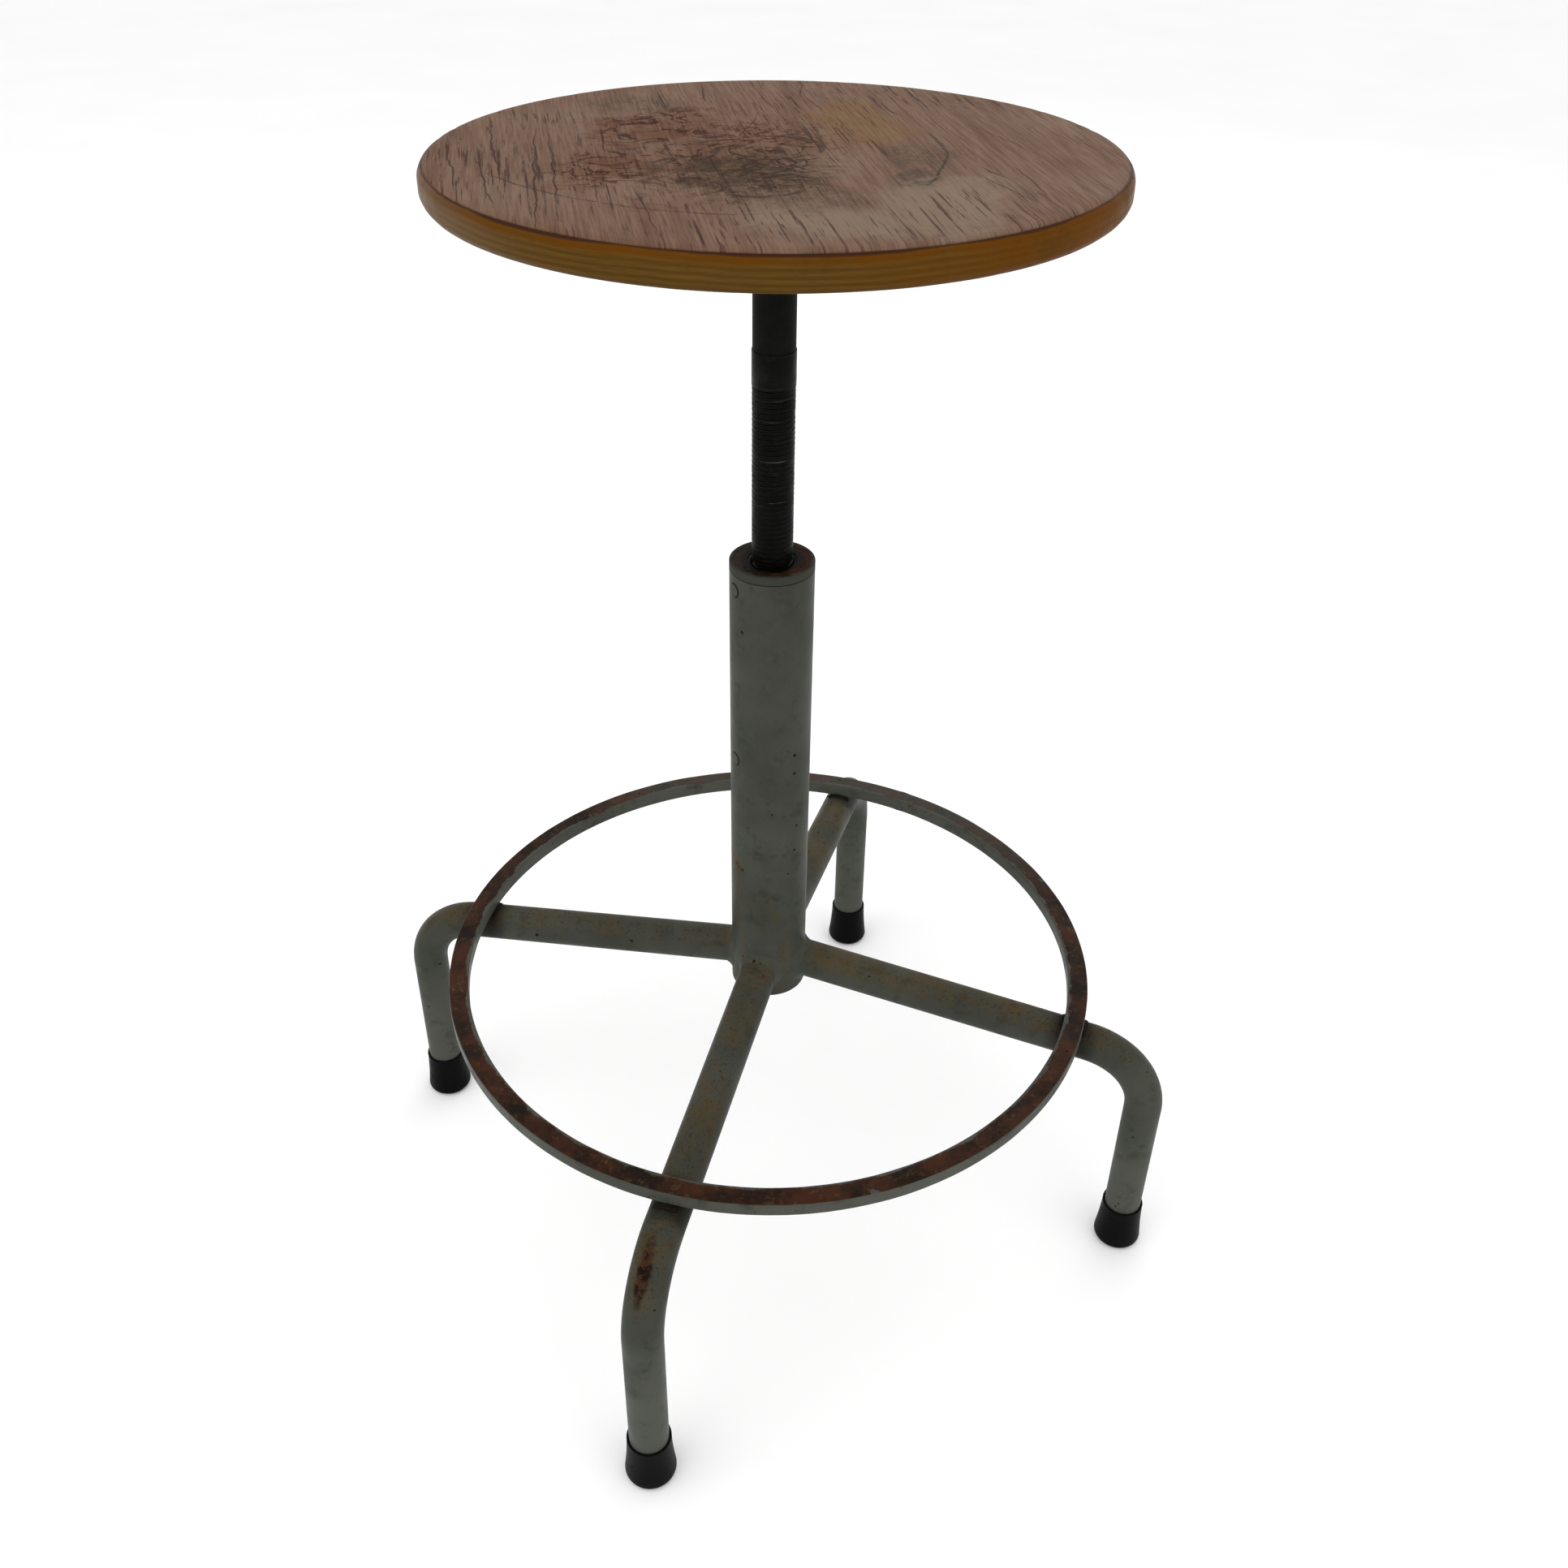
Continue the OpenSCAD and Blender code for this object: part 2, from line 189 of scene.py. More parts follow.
def turned(points, steps=128, closed=False):
    """A solid of revolution about Z from an outline of (radius, height) points."""
    bm = bmesh.new()
    verts = [bm.verts.new((across, 0, height)) for across, height in points]
    pairs = list(zip(verts, verts[1:]))
    if closed:
        pairs.append((verts[-1], verts[0]))
    edges = [bm.edges.new(pair) for pair in pairs]
    bmesh.ops.spin(
        bm,
        geom=verts + edges,
        cent=(0, 0, 0),
        axis=UP,
        dvec=(0, 0, 0),
        angle=2 * pi,
        steps=steps,
        use_merge=True,
        use_normal_flip=False,
        use_duplicate=False,
    )
    bmesh.ops.remove_doubles(bm, verts=bm.verts, dist=1e-6)
    bmesh.ops.recalc_face_normals(bm, faces=bm.faces)
    return bm


def sheet(columns, rows, place):
    """A grid bent into shape: place(u, v) gives a point for u and v from 0 to 1."""
    bm = bmesh.new()
    bmesh.ops.create_grid(bm, x_segments=columns, y_segments=rows, size=1.0)
    for vert in bm.verts:
        vert.co = place((vert.co.x + 1) / 2, (vert.co.y + 1) / 2)
    bmesh.ops.remove_doubles(bm, verts=bm.verts, dist=1e-7)
    bmesh.ops.recalc_face_normals(bm, faces=bm.faces)
    return bm


def join(target, part, matrix=None):
    """Adds one bmesh to another, moved by a matrix."""
    if matrix is not None:
        part.transform(matrix)
    mesh = bpy.data.meshes.new("joining")
    part.to_mesh(mesh)
    part.free()
    target.from_mesh(mesh)
    bpy.data.meshes.remove(mesh)


def ripple(point, size, seed=0.0):
    """Smooth noise from -1 to 1, with features about size metres wide."""
    return noise.noise(Vector(point) / size + Vector((seed, seed * 2, seed * 3)))


def piece(name, bm, look, body, replaces=(), crease=32):
    """Turns a bmesh into a finished piece that rides on a body."""
    limit = radians(crease)
    for face in bm.faces:
        face.smooth = True
    for edge in bm.edges:
        edge.smooth = len(edge.link_faces) == 2 and edge.calc_face_angle(0) < limit
    mesh = bpy.data.meshes.new(name)
    bm.to_mesh(mesh)
    bm.free()
    mesh.materials.append(look)
    made = bpy.data.objects.new(name, mesh)
    bpy.context.scene.collection.objects.link(made)
    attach(made, body)
    if replaces:
        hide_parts(*replaces)
    return made


def finish_node(name, look):
    """Gives a node of the frame its material."""
    materials = NODES[name].data.materials
    if not materials:
        materials.append(look)
    for index in range(len(materials)):
        materials[index] = look


# ---------------------------------------------------------------- material helper


class Look:
    """A procedural material, built a node at a time on Object coordinates."""

    def __init__(self, name, roughness=0.5, metallic=0.0, specular=0.5):
        self.material = bpy.data.materials.new(name)
        self.material.use_nodes = True
        self.tree = self.material.node_tree
        self.tree.nodes.clear()
        self.shader = self.node("ShaderNodeBsdfPrincipled")
        self.shader.inputs["Roughness"].default_value = roughness
        self.shader.inputs["Metallic"].default_value = metallic
        self.shader.inputs["Specular IOR Level"].default_value = specular
        output = self.node("ShaderNodeOutputMaterial")
        self.tree.links.new(self.shader.outputs["BSDF"], output.inputs["Surface"])
        self.coords = self.node("ShaderNodeTexCoord").outputs["Object"]
        split = self.node("ShaderNodeSeparateXYZ", {"Vector": self.coords})
        self.x, self.y, self.z = split.outputs

    def node(self, kind, sockets=None, **settings):
        made = self.tree.nodes.new(kind)
        for key, value in settings.items():
            setattr(made, key, value)
        for key, value in (sockets or {}).items():
            self.plug(made.inputs[key], value)
        return made

    def plug(self, socket, value):
        if isinstance(value, bpy.types.NodeSocket):
            self.tree.links.new(value, socket)
        elif socket.type == "RGBA":
            socket.default_value = (*value, 1.0)
        else:
            socket.default_value = value

    def turned(self, degrees):
        """Object coordinates turned about Z."""
        sockets = {"Vector": self.coords, "Rotation": (0, 0, radians(degrees))}
        return self.node("ShaderNodeMapping", sockets).outputs[0]

    def scaled(self, scale, vector=None, shift=(0, 0, 0)):
        sockets = {"Vector": vector or self.coords, "Scale": scale, "Location": shift}
        return self.node("ShaderNodeMapping", sockets).outputs[0]

    def noise(self, scale, detail=3.0, rough=0.5, vector=None, twist=0.0):
        sockets = {
            "Vector": vector or self.coords,
            "Scale": scale,
            "Detail": detail,
            "Roughness": rough,
            "Distortion": twist,
        }
        return self.node("ShaderNodeTexNoise", sockets).outputs["Fac"]

    def cells(self, scale):
        """Distance to the nearest of many scattered points, and a random number for each."""
        sockets = {"Vector": self.coords, "Scale": scale}
        made = self.node("ShaderNodeTexVoronoi", sockets)
        split = self.node("ShaderNodeSeparateColor", {"Color": made.outputs["Color"]})
        return made.outputs["Distance"], split.outputs[0]

    def from_axis(self):
        """Distance from the stool's axis."""
        vector = self.scaled((1, 1, 0))
        made = self.node("ShaderNodeVectorMath", {0: vector}, operation="LENGTH")
        return made.outputs["Value"]

    def step(self, value, low, high, start=0.0, end=1.0):
        """A smooth step from start to end as value goes from low to high."""
        sockets = {"Value": value, "From Min": low, "From Max": high}
        sockets.update({"To Min": start, "To Max": end})
        made = self.node("ShaderNodeMapRange", sockets, interpolation_type="SMOOTHSTEP")
        return made.outputs[0]

    def spots(self, scale, low, high, detail=5, rough=0.7, start=0.0, end=1.0, twist=0.0):
        """Noise cut off softly into spots, from start outside them to end inside."""
        return self.step(self.noise(scale, detail, rough, twist=twist), low, high, start, end)

    def math(self, operation, first, second=0.0):
        made = self.node("ShaderNodeMath", operation=operation)
        self.plug(made.inputs[0], first)
        self.plug(made.inputs[1], second)
        return made.outputs[0]

    def apart(self, first, second):
        """How far two values are from each other."""
        return self.math("ABSOLUTE", self.math("SUBTRACT", first, second))

    def both(self, *masks):
        """Masks multiplied together."""
        result = masks[0]
        for mask in masks[1:]:
            result = self.math("MULTIPLY", result, mask)
        return result

    def either(self, *masks):
        """The largest of several masks."""
        result = masks[0]
        for mask in masks[1:]:
            result = self.math("MAXIMUM", result, mask)
        return result

    def without(self, mask):
        return self.math("SUBTRACT", 1.0, mask)

    def blend(self, mask, first, second):
        made = self.node("ShaderNodeMix", data_type="RGBA")
        self.plug(made.inputs["Factor"], mask)
        self.plug(made.inputs[6], first)
        self.plug(made.inputs[7], second)
        return made.outputs[2]

    def distance(self, centre, stretch=(1, 1, 1)):
        """Distance from a point, with each axis stretched."""
        vector = self.scaled(stretch)
        point = [c * s for c, s in zip(centre, stretch)]
        sockets = {0: vector, 1: point}
        made = self.node("ShaderNodeVectorMath", sockets, operation="DISTANCE")
        return made.outputs["Value"]

    def blot(self, centre, radius, soft, stretch=(1, 1, 1)):
        """A round patch: 1 inside, fading to 0 over a soft edge."""
        return self.step(self.distance(centre, stretch), radius - soft, radius + soft, 1.0, 0.0)

    def facing_up(self, low, high):
        normal = self.node("ShaderNodeNewGeometry").outputs["Normal"]
        upward = self.node("ShaderNodeSeparateXYZ", {"Vector": normal}).outputs["Z"]
        return self.step(upward, low, high)

    def bump(self, height, distance, strength=1.0, under=None):
        sockets = {"Height": height, "Distance": distance, "Strength": strength}
        made = self.node("ShaderNodeBump", sockets)
        if under is not None:
            self.plug(made.inputs["Normal"], under)
        return made.outputs["Normal"]

    def done(self, base, rough=None, normal=None, metallic=None):
        self.plug(self.shader.inputs["Base Color"], base)
        if rough is not None:
            self.plug(self.shader.inputs["Roughness"], rough)
        if normal is not None:
            self.plug(self.shader.inputs["Normal"], normal)
        if metallic is not None:
            self.plug(self.shader.inputs["Metallic"], metallic)
        return self.material


# ---------------------------------------------------------------- finishes


def enamel(look, c, lightness=0.3):
    """Old enamel: its colour, from dark to light, and its pits, before any rust."""
    tone = look.math("ADD", look.spots(11, 0.3, 0.7, 5, 0.6, start=-0.3, end=0.3), lightness)
    base = look.blend(look.step(tone, 0.0, 1.0), c.paint_dark, c.paint)
    dirt = look.spots(70, 0.5, 0.72, 6)
    base = look.blend(look.both(dirt, 0.38), base, c.soot_and_shade)
    nearest, chance = look.cells(95)
    reach = look.spots(300, 0.3, 0.7, 2, 0.5, start=0.03, end=0.14)
    pit = look.both(look.math("LESS_THAN", nearest, reach), look.step(chance, 0.68, 0.74))
    return base, pit


def painted_look(name, stained=0.5, soot_and_shade=False, worn=None, low_rust=False):
    """Grey-green enamel with rust on what faces up, pits, grime, and for the legs soot with
    painted shade beside the foot ring.
    """
    c = colours()
    look = Look(name, specular=0.05)
    # lighter towards the bottom, darker higher up
    lightness = look.step(look.z, 0.05, 0.17, 0.95, 0.3)
    base, pit = enamel(look, c, lightness)
    up = look.facing_up(0.1, 0.8)
    cloud = look.noise(26, 7, 0.72, twist=0.6)
    stain = look.both(up, look.step(cloud, 0.60 - 0.28 * stained, 0.78 - 0.2 * stained))
    flecks = look.spots(420, 0.56, 0.66, 4)
    stain = look.both(stain, look.step(flecks, 0.0, 1.0, 0.62, 1.0))
    if low_rust:
        low = look.step(look.z, COLUMN_LOW.z + 0.03, COLUMN_LOW.z + 0.13, 1.0, 0.0)
        patch = look.spots(24, 0.52, 0.62, 7, 0.75, twist=0.8)
        stain = look.either(stain, look.both(low, patch, 0.4))
        spot = look.blot((-0.022, -0.012, 0.29), 0.012, 0.008)
        stain = look.either(stain, look.both(spot, look.spots(160, 0.42, 0.6, 5, 0.5)))
    base = look.blend(look.both(stain, 0.8), base, c.ochre)
    heavy = look.both(stain, look.spots(120, 0.52, 0.66, 6, 0.75))
    base = look.blend(look.both(heavy, 0.75), base, c.rust)
    grit = look.both(up, look.spots(520, 0.56, 0.62, 5, 0.75))
    base = look.blend(look.both(grit, 0.6), base, c.soot_and_shade)
    bare = pit
    if worn is not None:
        centre, radius, stretch = worn
        edge = look.math("ADD", look.distance(centre, stretch), look.both(cloud, 0.018))
        patch = look.step(edge, radius + 0.004, radius + 0.011, 1.0, 0.0)
        base = look.blend(look.both(patch, 0.85), base, c.rust)
        core = look.both(patch, look.spots(190, 0.45, 0.55))
        base = look.blend(core, base, c.rust_dark)
        heavy = look.either(heavy, patch)
    # soot by the ring's welds and painted shade: the legs darkened all round near where the foot
    # ring crosses them
    if soot_and_shade:
        gap = look.apart(look.from_axis(), (RING_TOP.x + ring_inner()) / 2)
        ragged = look.math("ADD", gap, look.both(look.noise(70, 4), 0.012))
        mask = look.step(ragged, 0.012, 0.026, 1.0, 0.0)
        base = look.blend(look.both(mask, 0.8), base, c.soot_and_shade)
    if low_rust:
        base = look.blend(pin_outline(look), base, c.soot_and_shade)
    base = look.blend(bare, base, c.rust_dark)
    gloss = look.spots(33, 0.3, 0.7, 4, 0.5, start=0.36, end=0.5)
    rough = look.math("ADD", gloss, look.both(heavy, 0.35))
    skin = look.bump(look.noise(260, 3, 0.55), 0.00022, 0.35)
    skin = look.bump(look.without(bare), 0.00035, 0.8, skin)
    crust = look.both(heavy, look.noise(900, 4, 0.7))
    skin = look.bump(crust, 0.0003, 0.9, skin)
    return look.done(base, rough, skin)


def pin_outline(look):
    """A dark line round each pin's head and along the seam under the nut."""
    radius = (COLUMN_TOP.x + COLUMN_TOP.y) / 2
    line = look.apart(look.z, COLUMN_TOP.z)
    mask = look.step(line, 0.0002, 0.0007, 0.9, 0.0)
    for name in ("upper_pins", "lower_pins"):
        low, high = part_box(name)
        height = (low.z + high.z) / 2
        for degrees in (-135, 45):
            turn = radians(degrees)
            gap = look.distance((radius * cos(turn), radius * sin(turn), height))
            line = look.apart(gap, (high.z - low.z) / 2 + 0.0003)
            mask = look.either(mask, look.step(line, 0.0003, 0.0008, 0.9, 0.0))
    return mask


def ring_inner():
    """Inner radius of the foot ring, read from its mesh."""
    return min(sqrt(v.co.x**2 + v.co.y**2) for v in NODES["foot_ring"].data.vertices)


def ring_look():
    """Enamel on the sides of the bar, with its top rubbed down to brown rust."""
    c = colours()
    look = Look("Foot_ring_finish", specular=0.07)
    base, pit = enamel(look, c, 0.7)
    cloud = look.noise(60, 6, 0.7)
    up = look.facing_up(0.35, 0.75)
    ragged = look.math("ADD", up, look.step(cloud, 0.3, 0.7, -0.25, 0.25))
    rubbed = look.step(ragged, 0.5, 0.62)
    left_on = look.spots(38, 0.60, 0.66, 6, 0.75)
    rubbed = look.both(rubbed, look.without(look.both(left_on, 0.8)))
    rubbed = look.both(rubbed, look.step(look.y, 0.10, 0.19, 1.0, 0.6))
    across = look.math("SUBTRACT", look.from_axis(), ring_inner())
    across = look.math("ADD", across, look.spots(50, 0.3, 0.7, start=-0.0016, end=0.0016))
    rubbed = look.both(rubbed, look.step(across, 0.0013, 0.0026, 0.15, 1.0))
    brown = look.blend(look.spots(45, 0.35, 0.65, 5, 0.65), c.rust, c.rust_dark)
    brown = look.blend(look.spots(210, 0.54, 0.7, end=0.5), brown, c.ochre)
    base = look.blend(rubbed, base, brown)
    chips = look.both(look.spots(130, 0.62, 0.66), look.without(up))
    base = look.blend(look.both(chips, 0.8), base, c.rust)
    base = look.blend(pit, base, c.rust_dark)
    rough = look.step(rubbed, 0.0, 1.0, 0.42, 0.5)
    rough = look.math("ADD", rough, look.step(cloud, 0.35, 0.7, -0.08, 0.12))
    skin = look.bump(look.without(rubbed), 0.00018, 0.7)
    skin = look.bump(look.noise(700, 4, 0.7), 0.00018, 0.55, skin)
    return look.done(base, rough, skin)


def nut_look():
    """Painted sides, a rusty rubbed top and black grease round the spindle."""
    c = colours()
    look = Look("Nut_finish", specular=0.02)
    base, pit = enamel(look, c, 0.1)
    ragged = look.math("ADD", look.from_axis(), look.both(look.noise(160, 4), 0.006))
    up = look.both(look.facing_up(0.75, 0.95), look.step(ragged, 0.0255, 0.0270, 1.0, 0.0))
    brown = look.blend(look.spots(70, 0.42, 0.6), c.rust, c.rust_dark)
    brown = look.blend(look.step(look.x, -0.02, 0.004, 0.35, 0.0), brown, c.paint_dark)
    brown = look.blend(look.spots(260, 0.58, 0.7, end=0.6), brown, c.ochre)
    base = look.blend(look.both(up, 0.95), base, brown)
    greasy = look.step(ragged, 0.0190, 0.0225, 1.0, 0.0)
    base = look.blend(greasy, base, c.oily)
    base = look.blend(pit, base, c.rust_dark)
    rough = look.step(greasy, 0.0, 1.0, 0.6, 0.4)
    skin = look.bump(look.noise(500, 4, 0.65), 0.0002, 0.5)
    return look.done(base, rough, skin)


def rubbed_lines(look):
    """Fine bright lines round the middle of the thread."""
    lines = look.noise(1.0, 4, 0.7, vector=look.scaled((24, 24, 700)))
    reach = look.both(look.step(look.z, 0.535, 0.55), look.step(look.z, 0.585, 0.62, 1.0, 0.2))
    return look.both(look.step(lines, 0.60, 0.68), reach)


def spindle_look():
    """Black oily steel, rubbed brighter on the crests, with a dull neck."""
    c = colours()
    look = Look("Spindle_finish", specular=0.05)
    smear = look.step(look.noise(60, 6, 0.7, vector=look.scaled((1, 1, 2.2))), 0.42, 0.7)
    base = look.blend(look.both(smear, 0.3), c.oily, c.neck)
    crest = look.step(look.from_axis(), 0.01165, 0.01196)
    patchy = look.spots(85, 0.44, 0.66)
    base = look.blend(look.both(crest, patchy, 0.55), base, c.crest)
    base = look.blend(look.both(rubbed_lines(look), 0.8), base, c.bare)
    neck_low = SPINDLE_TOP.z - sizes().neck
    neck = look.step(look.z, neck_low - 0.0002, neck_low + 0.0002)
    dull = look.blend(look.spots(30, 0.35, 0.7, 5, 0.65), c.neck, c.oily)
    base = look.blend(neck, base, dull)
    rough = look.step(smear, 0.0, 1.0, 0.28, 0.5)
    rough = look.either(rough, look.both(neck, 0.55))
    scratches = look.noise(1.0, 4, 0.6, vector=look.scaled((90, 90, 1500)))
    skin = look.bump(scratches, 0.00008, 0.5)
    return look.done(base, rough, skin)


def grease_look():
    c = colours()
    look = Look("Grease_finish", roughness=0.4, specular=0.04)
    base = look.blend(look.spots(140, 0.45, 0.7, end=0.5), c.oily, c.neck)
    base = look.blend(look.both(rubbed_lines(look), 0.5), base, c.bare)
    skin = look.bump(look.noise(220, 4, 0.6), 0.0003, 0.6)
    rough = look.spots(90, 0.35, 0.65, 4, 0.5, start=0.3, end=0.55)
    return look.done(base, rough, skin)


def steel_look(name, tone, roughness, rusty=0.3):
    """Dull steel with a little rust, for the pieces under the seat and inside the column."""
    c = colours()
    look = Look(name, metallic=0.7, specular=0.5)
    base = look.blend(look.spots(40, 0.3, 0.7, 5, 0.6), tone, c.neck)
    spots = look.step(look.noise(130, 6, 0.75), 0.72 - 0.3 * rusty, 0.8 - 0.3 * rusty)
    base = look.blend(look.both(spots, 0.8), base, c.rust)
    rough = look.math("ADD", look.both(spots, 0.3), roughness)
    metal = look.step(spots, 0.0, 1.0, 0.7, 0.1)
    skin = look.bump(look.noise(600, 4, 0.65), 0.00012, 0.5)
    return look.done(base, rough, skin, metal)


def soot_weld_look(name="Sooty_weld_finish"):
    c = colours()
    look = Look(name, roughness=0.7, specular=0.06)
    base = look.blend(look.spots(110, 0.4, 0.65), c.soot_and_shade, c.rust_dark)
    base = look.blend(look.spots(60, 0.55, 0.7, 4, 0.5, end=0.6), base, c.paint_dark)
    return look.done(base, None, look.bump(look.noise(700, 4, 0.7), 0.0003, 0.7))


def rubber_look():
    """Moulded rubber with a dusty bloom and small scuffs."""
    c = colours()
    look = Look("Rubber_finish", specular=0.03)
    bloom = look.spots(110, 0.5, 0.78, 6)
    low = look.step(look.z, 0.004, 0.018, 1.0, 0.25)
    base = look.blend(look.both(bloom, low, 0.6), c.rubber, c.dust)
    nearest, chance = look.cells(130)
    speck = look.both(look.step(nearest, 0.06, 0.1, 1.0, 0.0), look.step(chance, 0.9, 0.92))
    base = look.blend(look.both(speck, 0.8), base, c.dust)
    rough = look.step(bloom, 0.0, 1.0, 0.42, 0.7)
    skin = look.bump(look.noise(900, 3, 0.6), 0.00012, 0.5)
    skin = look.bump(look.noise(90, 3, 0.5), 0.0003, 0.3, skin)
    return look.done(base, rough, skin)


GRAIN_TURN = 65
# long cracks in the facing, in millimetres: start, end and width
CRACKS = (
    ((-132, 8), (-56, -168), 1.0),
    ((-156, 4), (-124, -60), 0.6),
    ((-148, -12), (-104, -96), 0.9),
    ((-116, -12), (-64, -124), 0.8),
    ((-136, -56), (-88, -140), 0.7),
    ((-44, -84), (-4, -164), 0.5),
    ((-84, 136), (-66, 94), 0.9),
    ((-29, 156), (-20, 124), 0.5),
    ((-16, 122), (0, 92), 0.8),
    ((31, 108), (41, 94), 0.8),
    ((80, 84), (132, 20), 0.5),
    ((102, -4), (118, -24), 0.9),
    ((118, 0), (140, -50), 0.7),
    ((100, -16), (136, -60), 0.5),
    ((-100, 20), (-76, -36), 0.8),
    ((-32, 84), (-24, 12), 0.45),
    ((-156, -44), (-112, -128), 0.6),
)
# curved strokes, in millimetres: centre, radius, a place on the arc, reach from it and width
STROKES = (
    ((-69, -22), 155, (85, 8), 60, 1.2),
    ((-16, 36), 158, (-50, -118), 78, 0.9),
    ((-4, 10), 18, (0, 26), 17, 2.2),
    ((-8, 2), 30, (17, 18), 20, 2.0),
    ((-20, -8), 22, (-30, 10), 16, 2.4),
    ((-24, -50), 26, (-40, -32), 18, 2.0),
    ((6, -60), 30, (20, -84), 20, 2.2),
    ((-60, -20), 34, (-30, -20), 18, 2.0),
)


def patch(look, wander, centre, half_width, half_length, ragged=0.5, soft=0.4):
    """An oval patch with a ragged edge: 1 inside and 0 outside."""
    stretch = (1 / (half_width * MM), 1 / (half_length * MM), 0)
    across = look.distance((centre[0] * MM, centre[1] * MM, 0), stretch)
    edge = look.math("ADD", across, look.step(wander, 0.25, 0.75, -ragged, ragged))
    return look.step(edge, 1 - soft, 1 + soft, 1.0, 0.0)


def long_crack(look, place, wobble, start, end, width):
    """A straight crack in the grain's own coordinates, thin at both ends."""
    turn = radians(GRAIN_TURN)
    ends = []
    for x, y in (start, end):
        ends.append(((x * cos(turn) - y * sin(turn)) * MM, (x * sin(turn) + y * cos(turn)) * MM))
    (start_u, start_v), (end_u, end_v) = ends
    sockets = {"Value": place[0], "From Min": start_u, "From Max": end_u}
    share = look.node("ShaderNodeMapRange", sockets).outputs[0]
    sockets = {"Value": share, "To Min": start_v, "To Max": end_v}
    line = look.node("ShaderNodeMapRange", sockets).outputs[0]
    gap = look.apart(look.math("ADD", place[1], wobble), line)
    taper = look.both(share, look.without(share), 3.4 * width * MM)
    ratio = look.math("DIVIDE", gap, look.math("ADD", taper, 0.00002))
    return look.step(ratio, 0.45, 1.0, 1.0, 0.0)


def facing_look():
    """Worn face veneer: fine grain, cracks along it, rubbed grime and old scratches."""
    c = colours()
    look = Look("Facing_finish", specular=0.015)
    along = look.turned(GRAIN_TURN)
    place = look.node("ShaderNodeSeparateXYZ", {"Vector": along}).outputs
    fibre = look.noise(1.0, 5, 0.7, vector=look.scaled((26, 760, 1), along))
    broad = look.noise(1.0, 4, 0.6, vector=look.scaled((7, 90, 1), along))
    base = look.blend(look.step(fibre, 0.36, 0.68, 0.0, 0.8), c.facing, c.facing_dark)
    base = look.blend(look.step(broad, 0.48, 0.66, 0.0, 0.6), base, c.facing_dark)
    base = look.blend(look.spots(7, 0.45, 0.7, 4, 0.6, end=0.35), base, c.pale_and_sheen)
    # patches rubbed by use; the pale ones also hold a painted sheen of reflected light
    wander = look.noise(24, 6, 0.72, twist=0.7)
    speckle = look.noise(120, 6, 0.8, twist=1.0)
    yellow = look.either(
        patch(look, wander, (26, 58), 22, 38, 0.8, 0.6),
        patch(look, wander, (10, 92), 16, 30, 0.8, 0.6),
    )
    base = look.blend(look.both(yellow, 0.62), base, c.yellowed)
    # pale patches at the front right: rubbed varnish and a painted sheen of reflected light
    pale_and_sheen = look.either(
        patch(look, wander, (97, -70), 26, 40),
        patch(look, wander, (64, -116), 46, 22),
        look.both(patch(look, wander, (30, -22), 24, 30), 0.6),
    )
    base = look.blend(look.both(pale_and_sheen, 0.7), base, c.pale_and_sheen)
    worn = look.either(
        patch(look, wander, (-10, -26), 46, 78),
        patch(look, wander, (-72, 30), 30, 44),
        patch(look, wander, (-66, -58), 24, 38),
    )
    reddish = look.step(look.x, -0.055, -0.005, 0.75, 0.15)
    scuffs = look.both(worn, look.spots(30, 0.44, 0.56, 6, 0.75, twist=1.2))
    base = look.blend(look.both(scuffs, reddish, 0.8), base, c.scuff)
    contour = look.apart(look.noise(40, 3, 0.6, twist=1.8), 0.5)
    strokes = look.both(look.step(contour, 0.020, 0.042, 1.0, 0.0), look.step(wander, 0.34, 0.50))
    base = look.blend(look.both(worn, strokes, 0.92), base, c.crack)
    murk = look.either(
        patch(look, wander, (-4, -50), 36, 44),
        look.both(patch(look, wander, (76, -32), 11, 18), 0.8),
        look.both(patch(look, wander, (70, 6), 20, 26), 0.55),
        look.both(patch(look, wander, (-104, 74), 30, 18), 0.5),
        look.both(patch(look, wander, (40, -84), 26, 20), 0.5),
    )
    base = look.blend(look.both(murk, look.step(speckle, 0.34, 0.6), 0.85), base, c.grime)
    # cracks along the grain: many short ones, then the long ones
    gather = look.spots(13, 0.40, 0.60, 4, 0.6, start=0.25)
    short = look.noise(1.0, 3, 0.6, vector=look.scaled((14, 460, 1), along))
    fine = look.noise(1.0, 2, 0.6, vector=look.scaled((34, 640, 1), along, (3, 7, 0)))
    cracks = look.either(
        look.both(look.step(short, 0.60, 0.65), gather),
        look.both(look.step(fine, 0.61, 0.66), gather, 0.8),
    )
    wobble = look.spots(26, 0.3, 0.7, 4, 0.6, start=-0.0011, end=0.0011)
    for start, end, width in CRACKS:
        cracks = look.either(cracks, long_crack(look, place, wobble, start, end, width))
    base = look.blend(look.both(cracks, 0.8), base, c.crack)
    marks = None
    for stroke in STROKES:
        mark = curved_stroke(look, wobble, *stroke)
        marks = mark if marks is None else look.either(marks, mark)
    base = look.blend(look.both(marks, 0.75), base, c.grime)
    rim = look.step(look.from_axis(), SEAT_RIM.x - 0.0038, SEAT_RIM.x - 0.0024)
    base = look.blend(look.both(rim, 0.75), base, c.crack)
    rough = look.step(worn, 0.0, 1.0, 0.5, 0.65)
    rough = look.math("ADD", rough, look.step(fibre, 0.3, 0.7, -0.06, 0.1))
    depth = look.math("ADD", look.both(fibre, 0.25), look.without(look.either(cracks, marks)))
    skin = look.bump(depth, 0.0005, 0.6)
    return look.done(base, rough, skin)


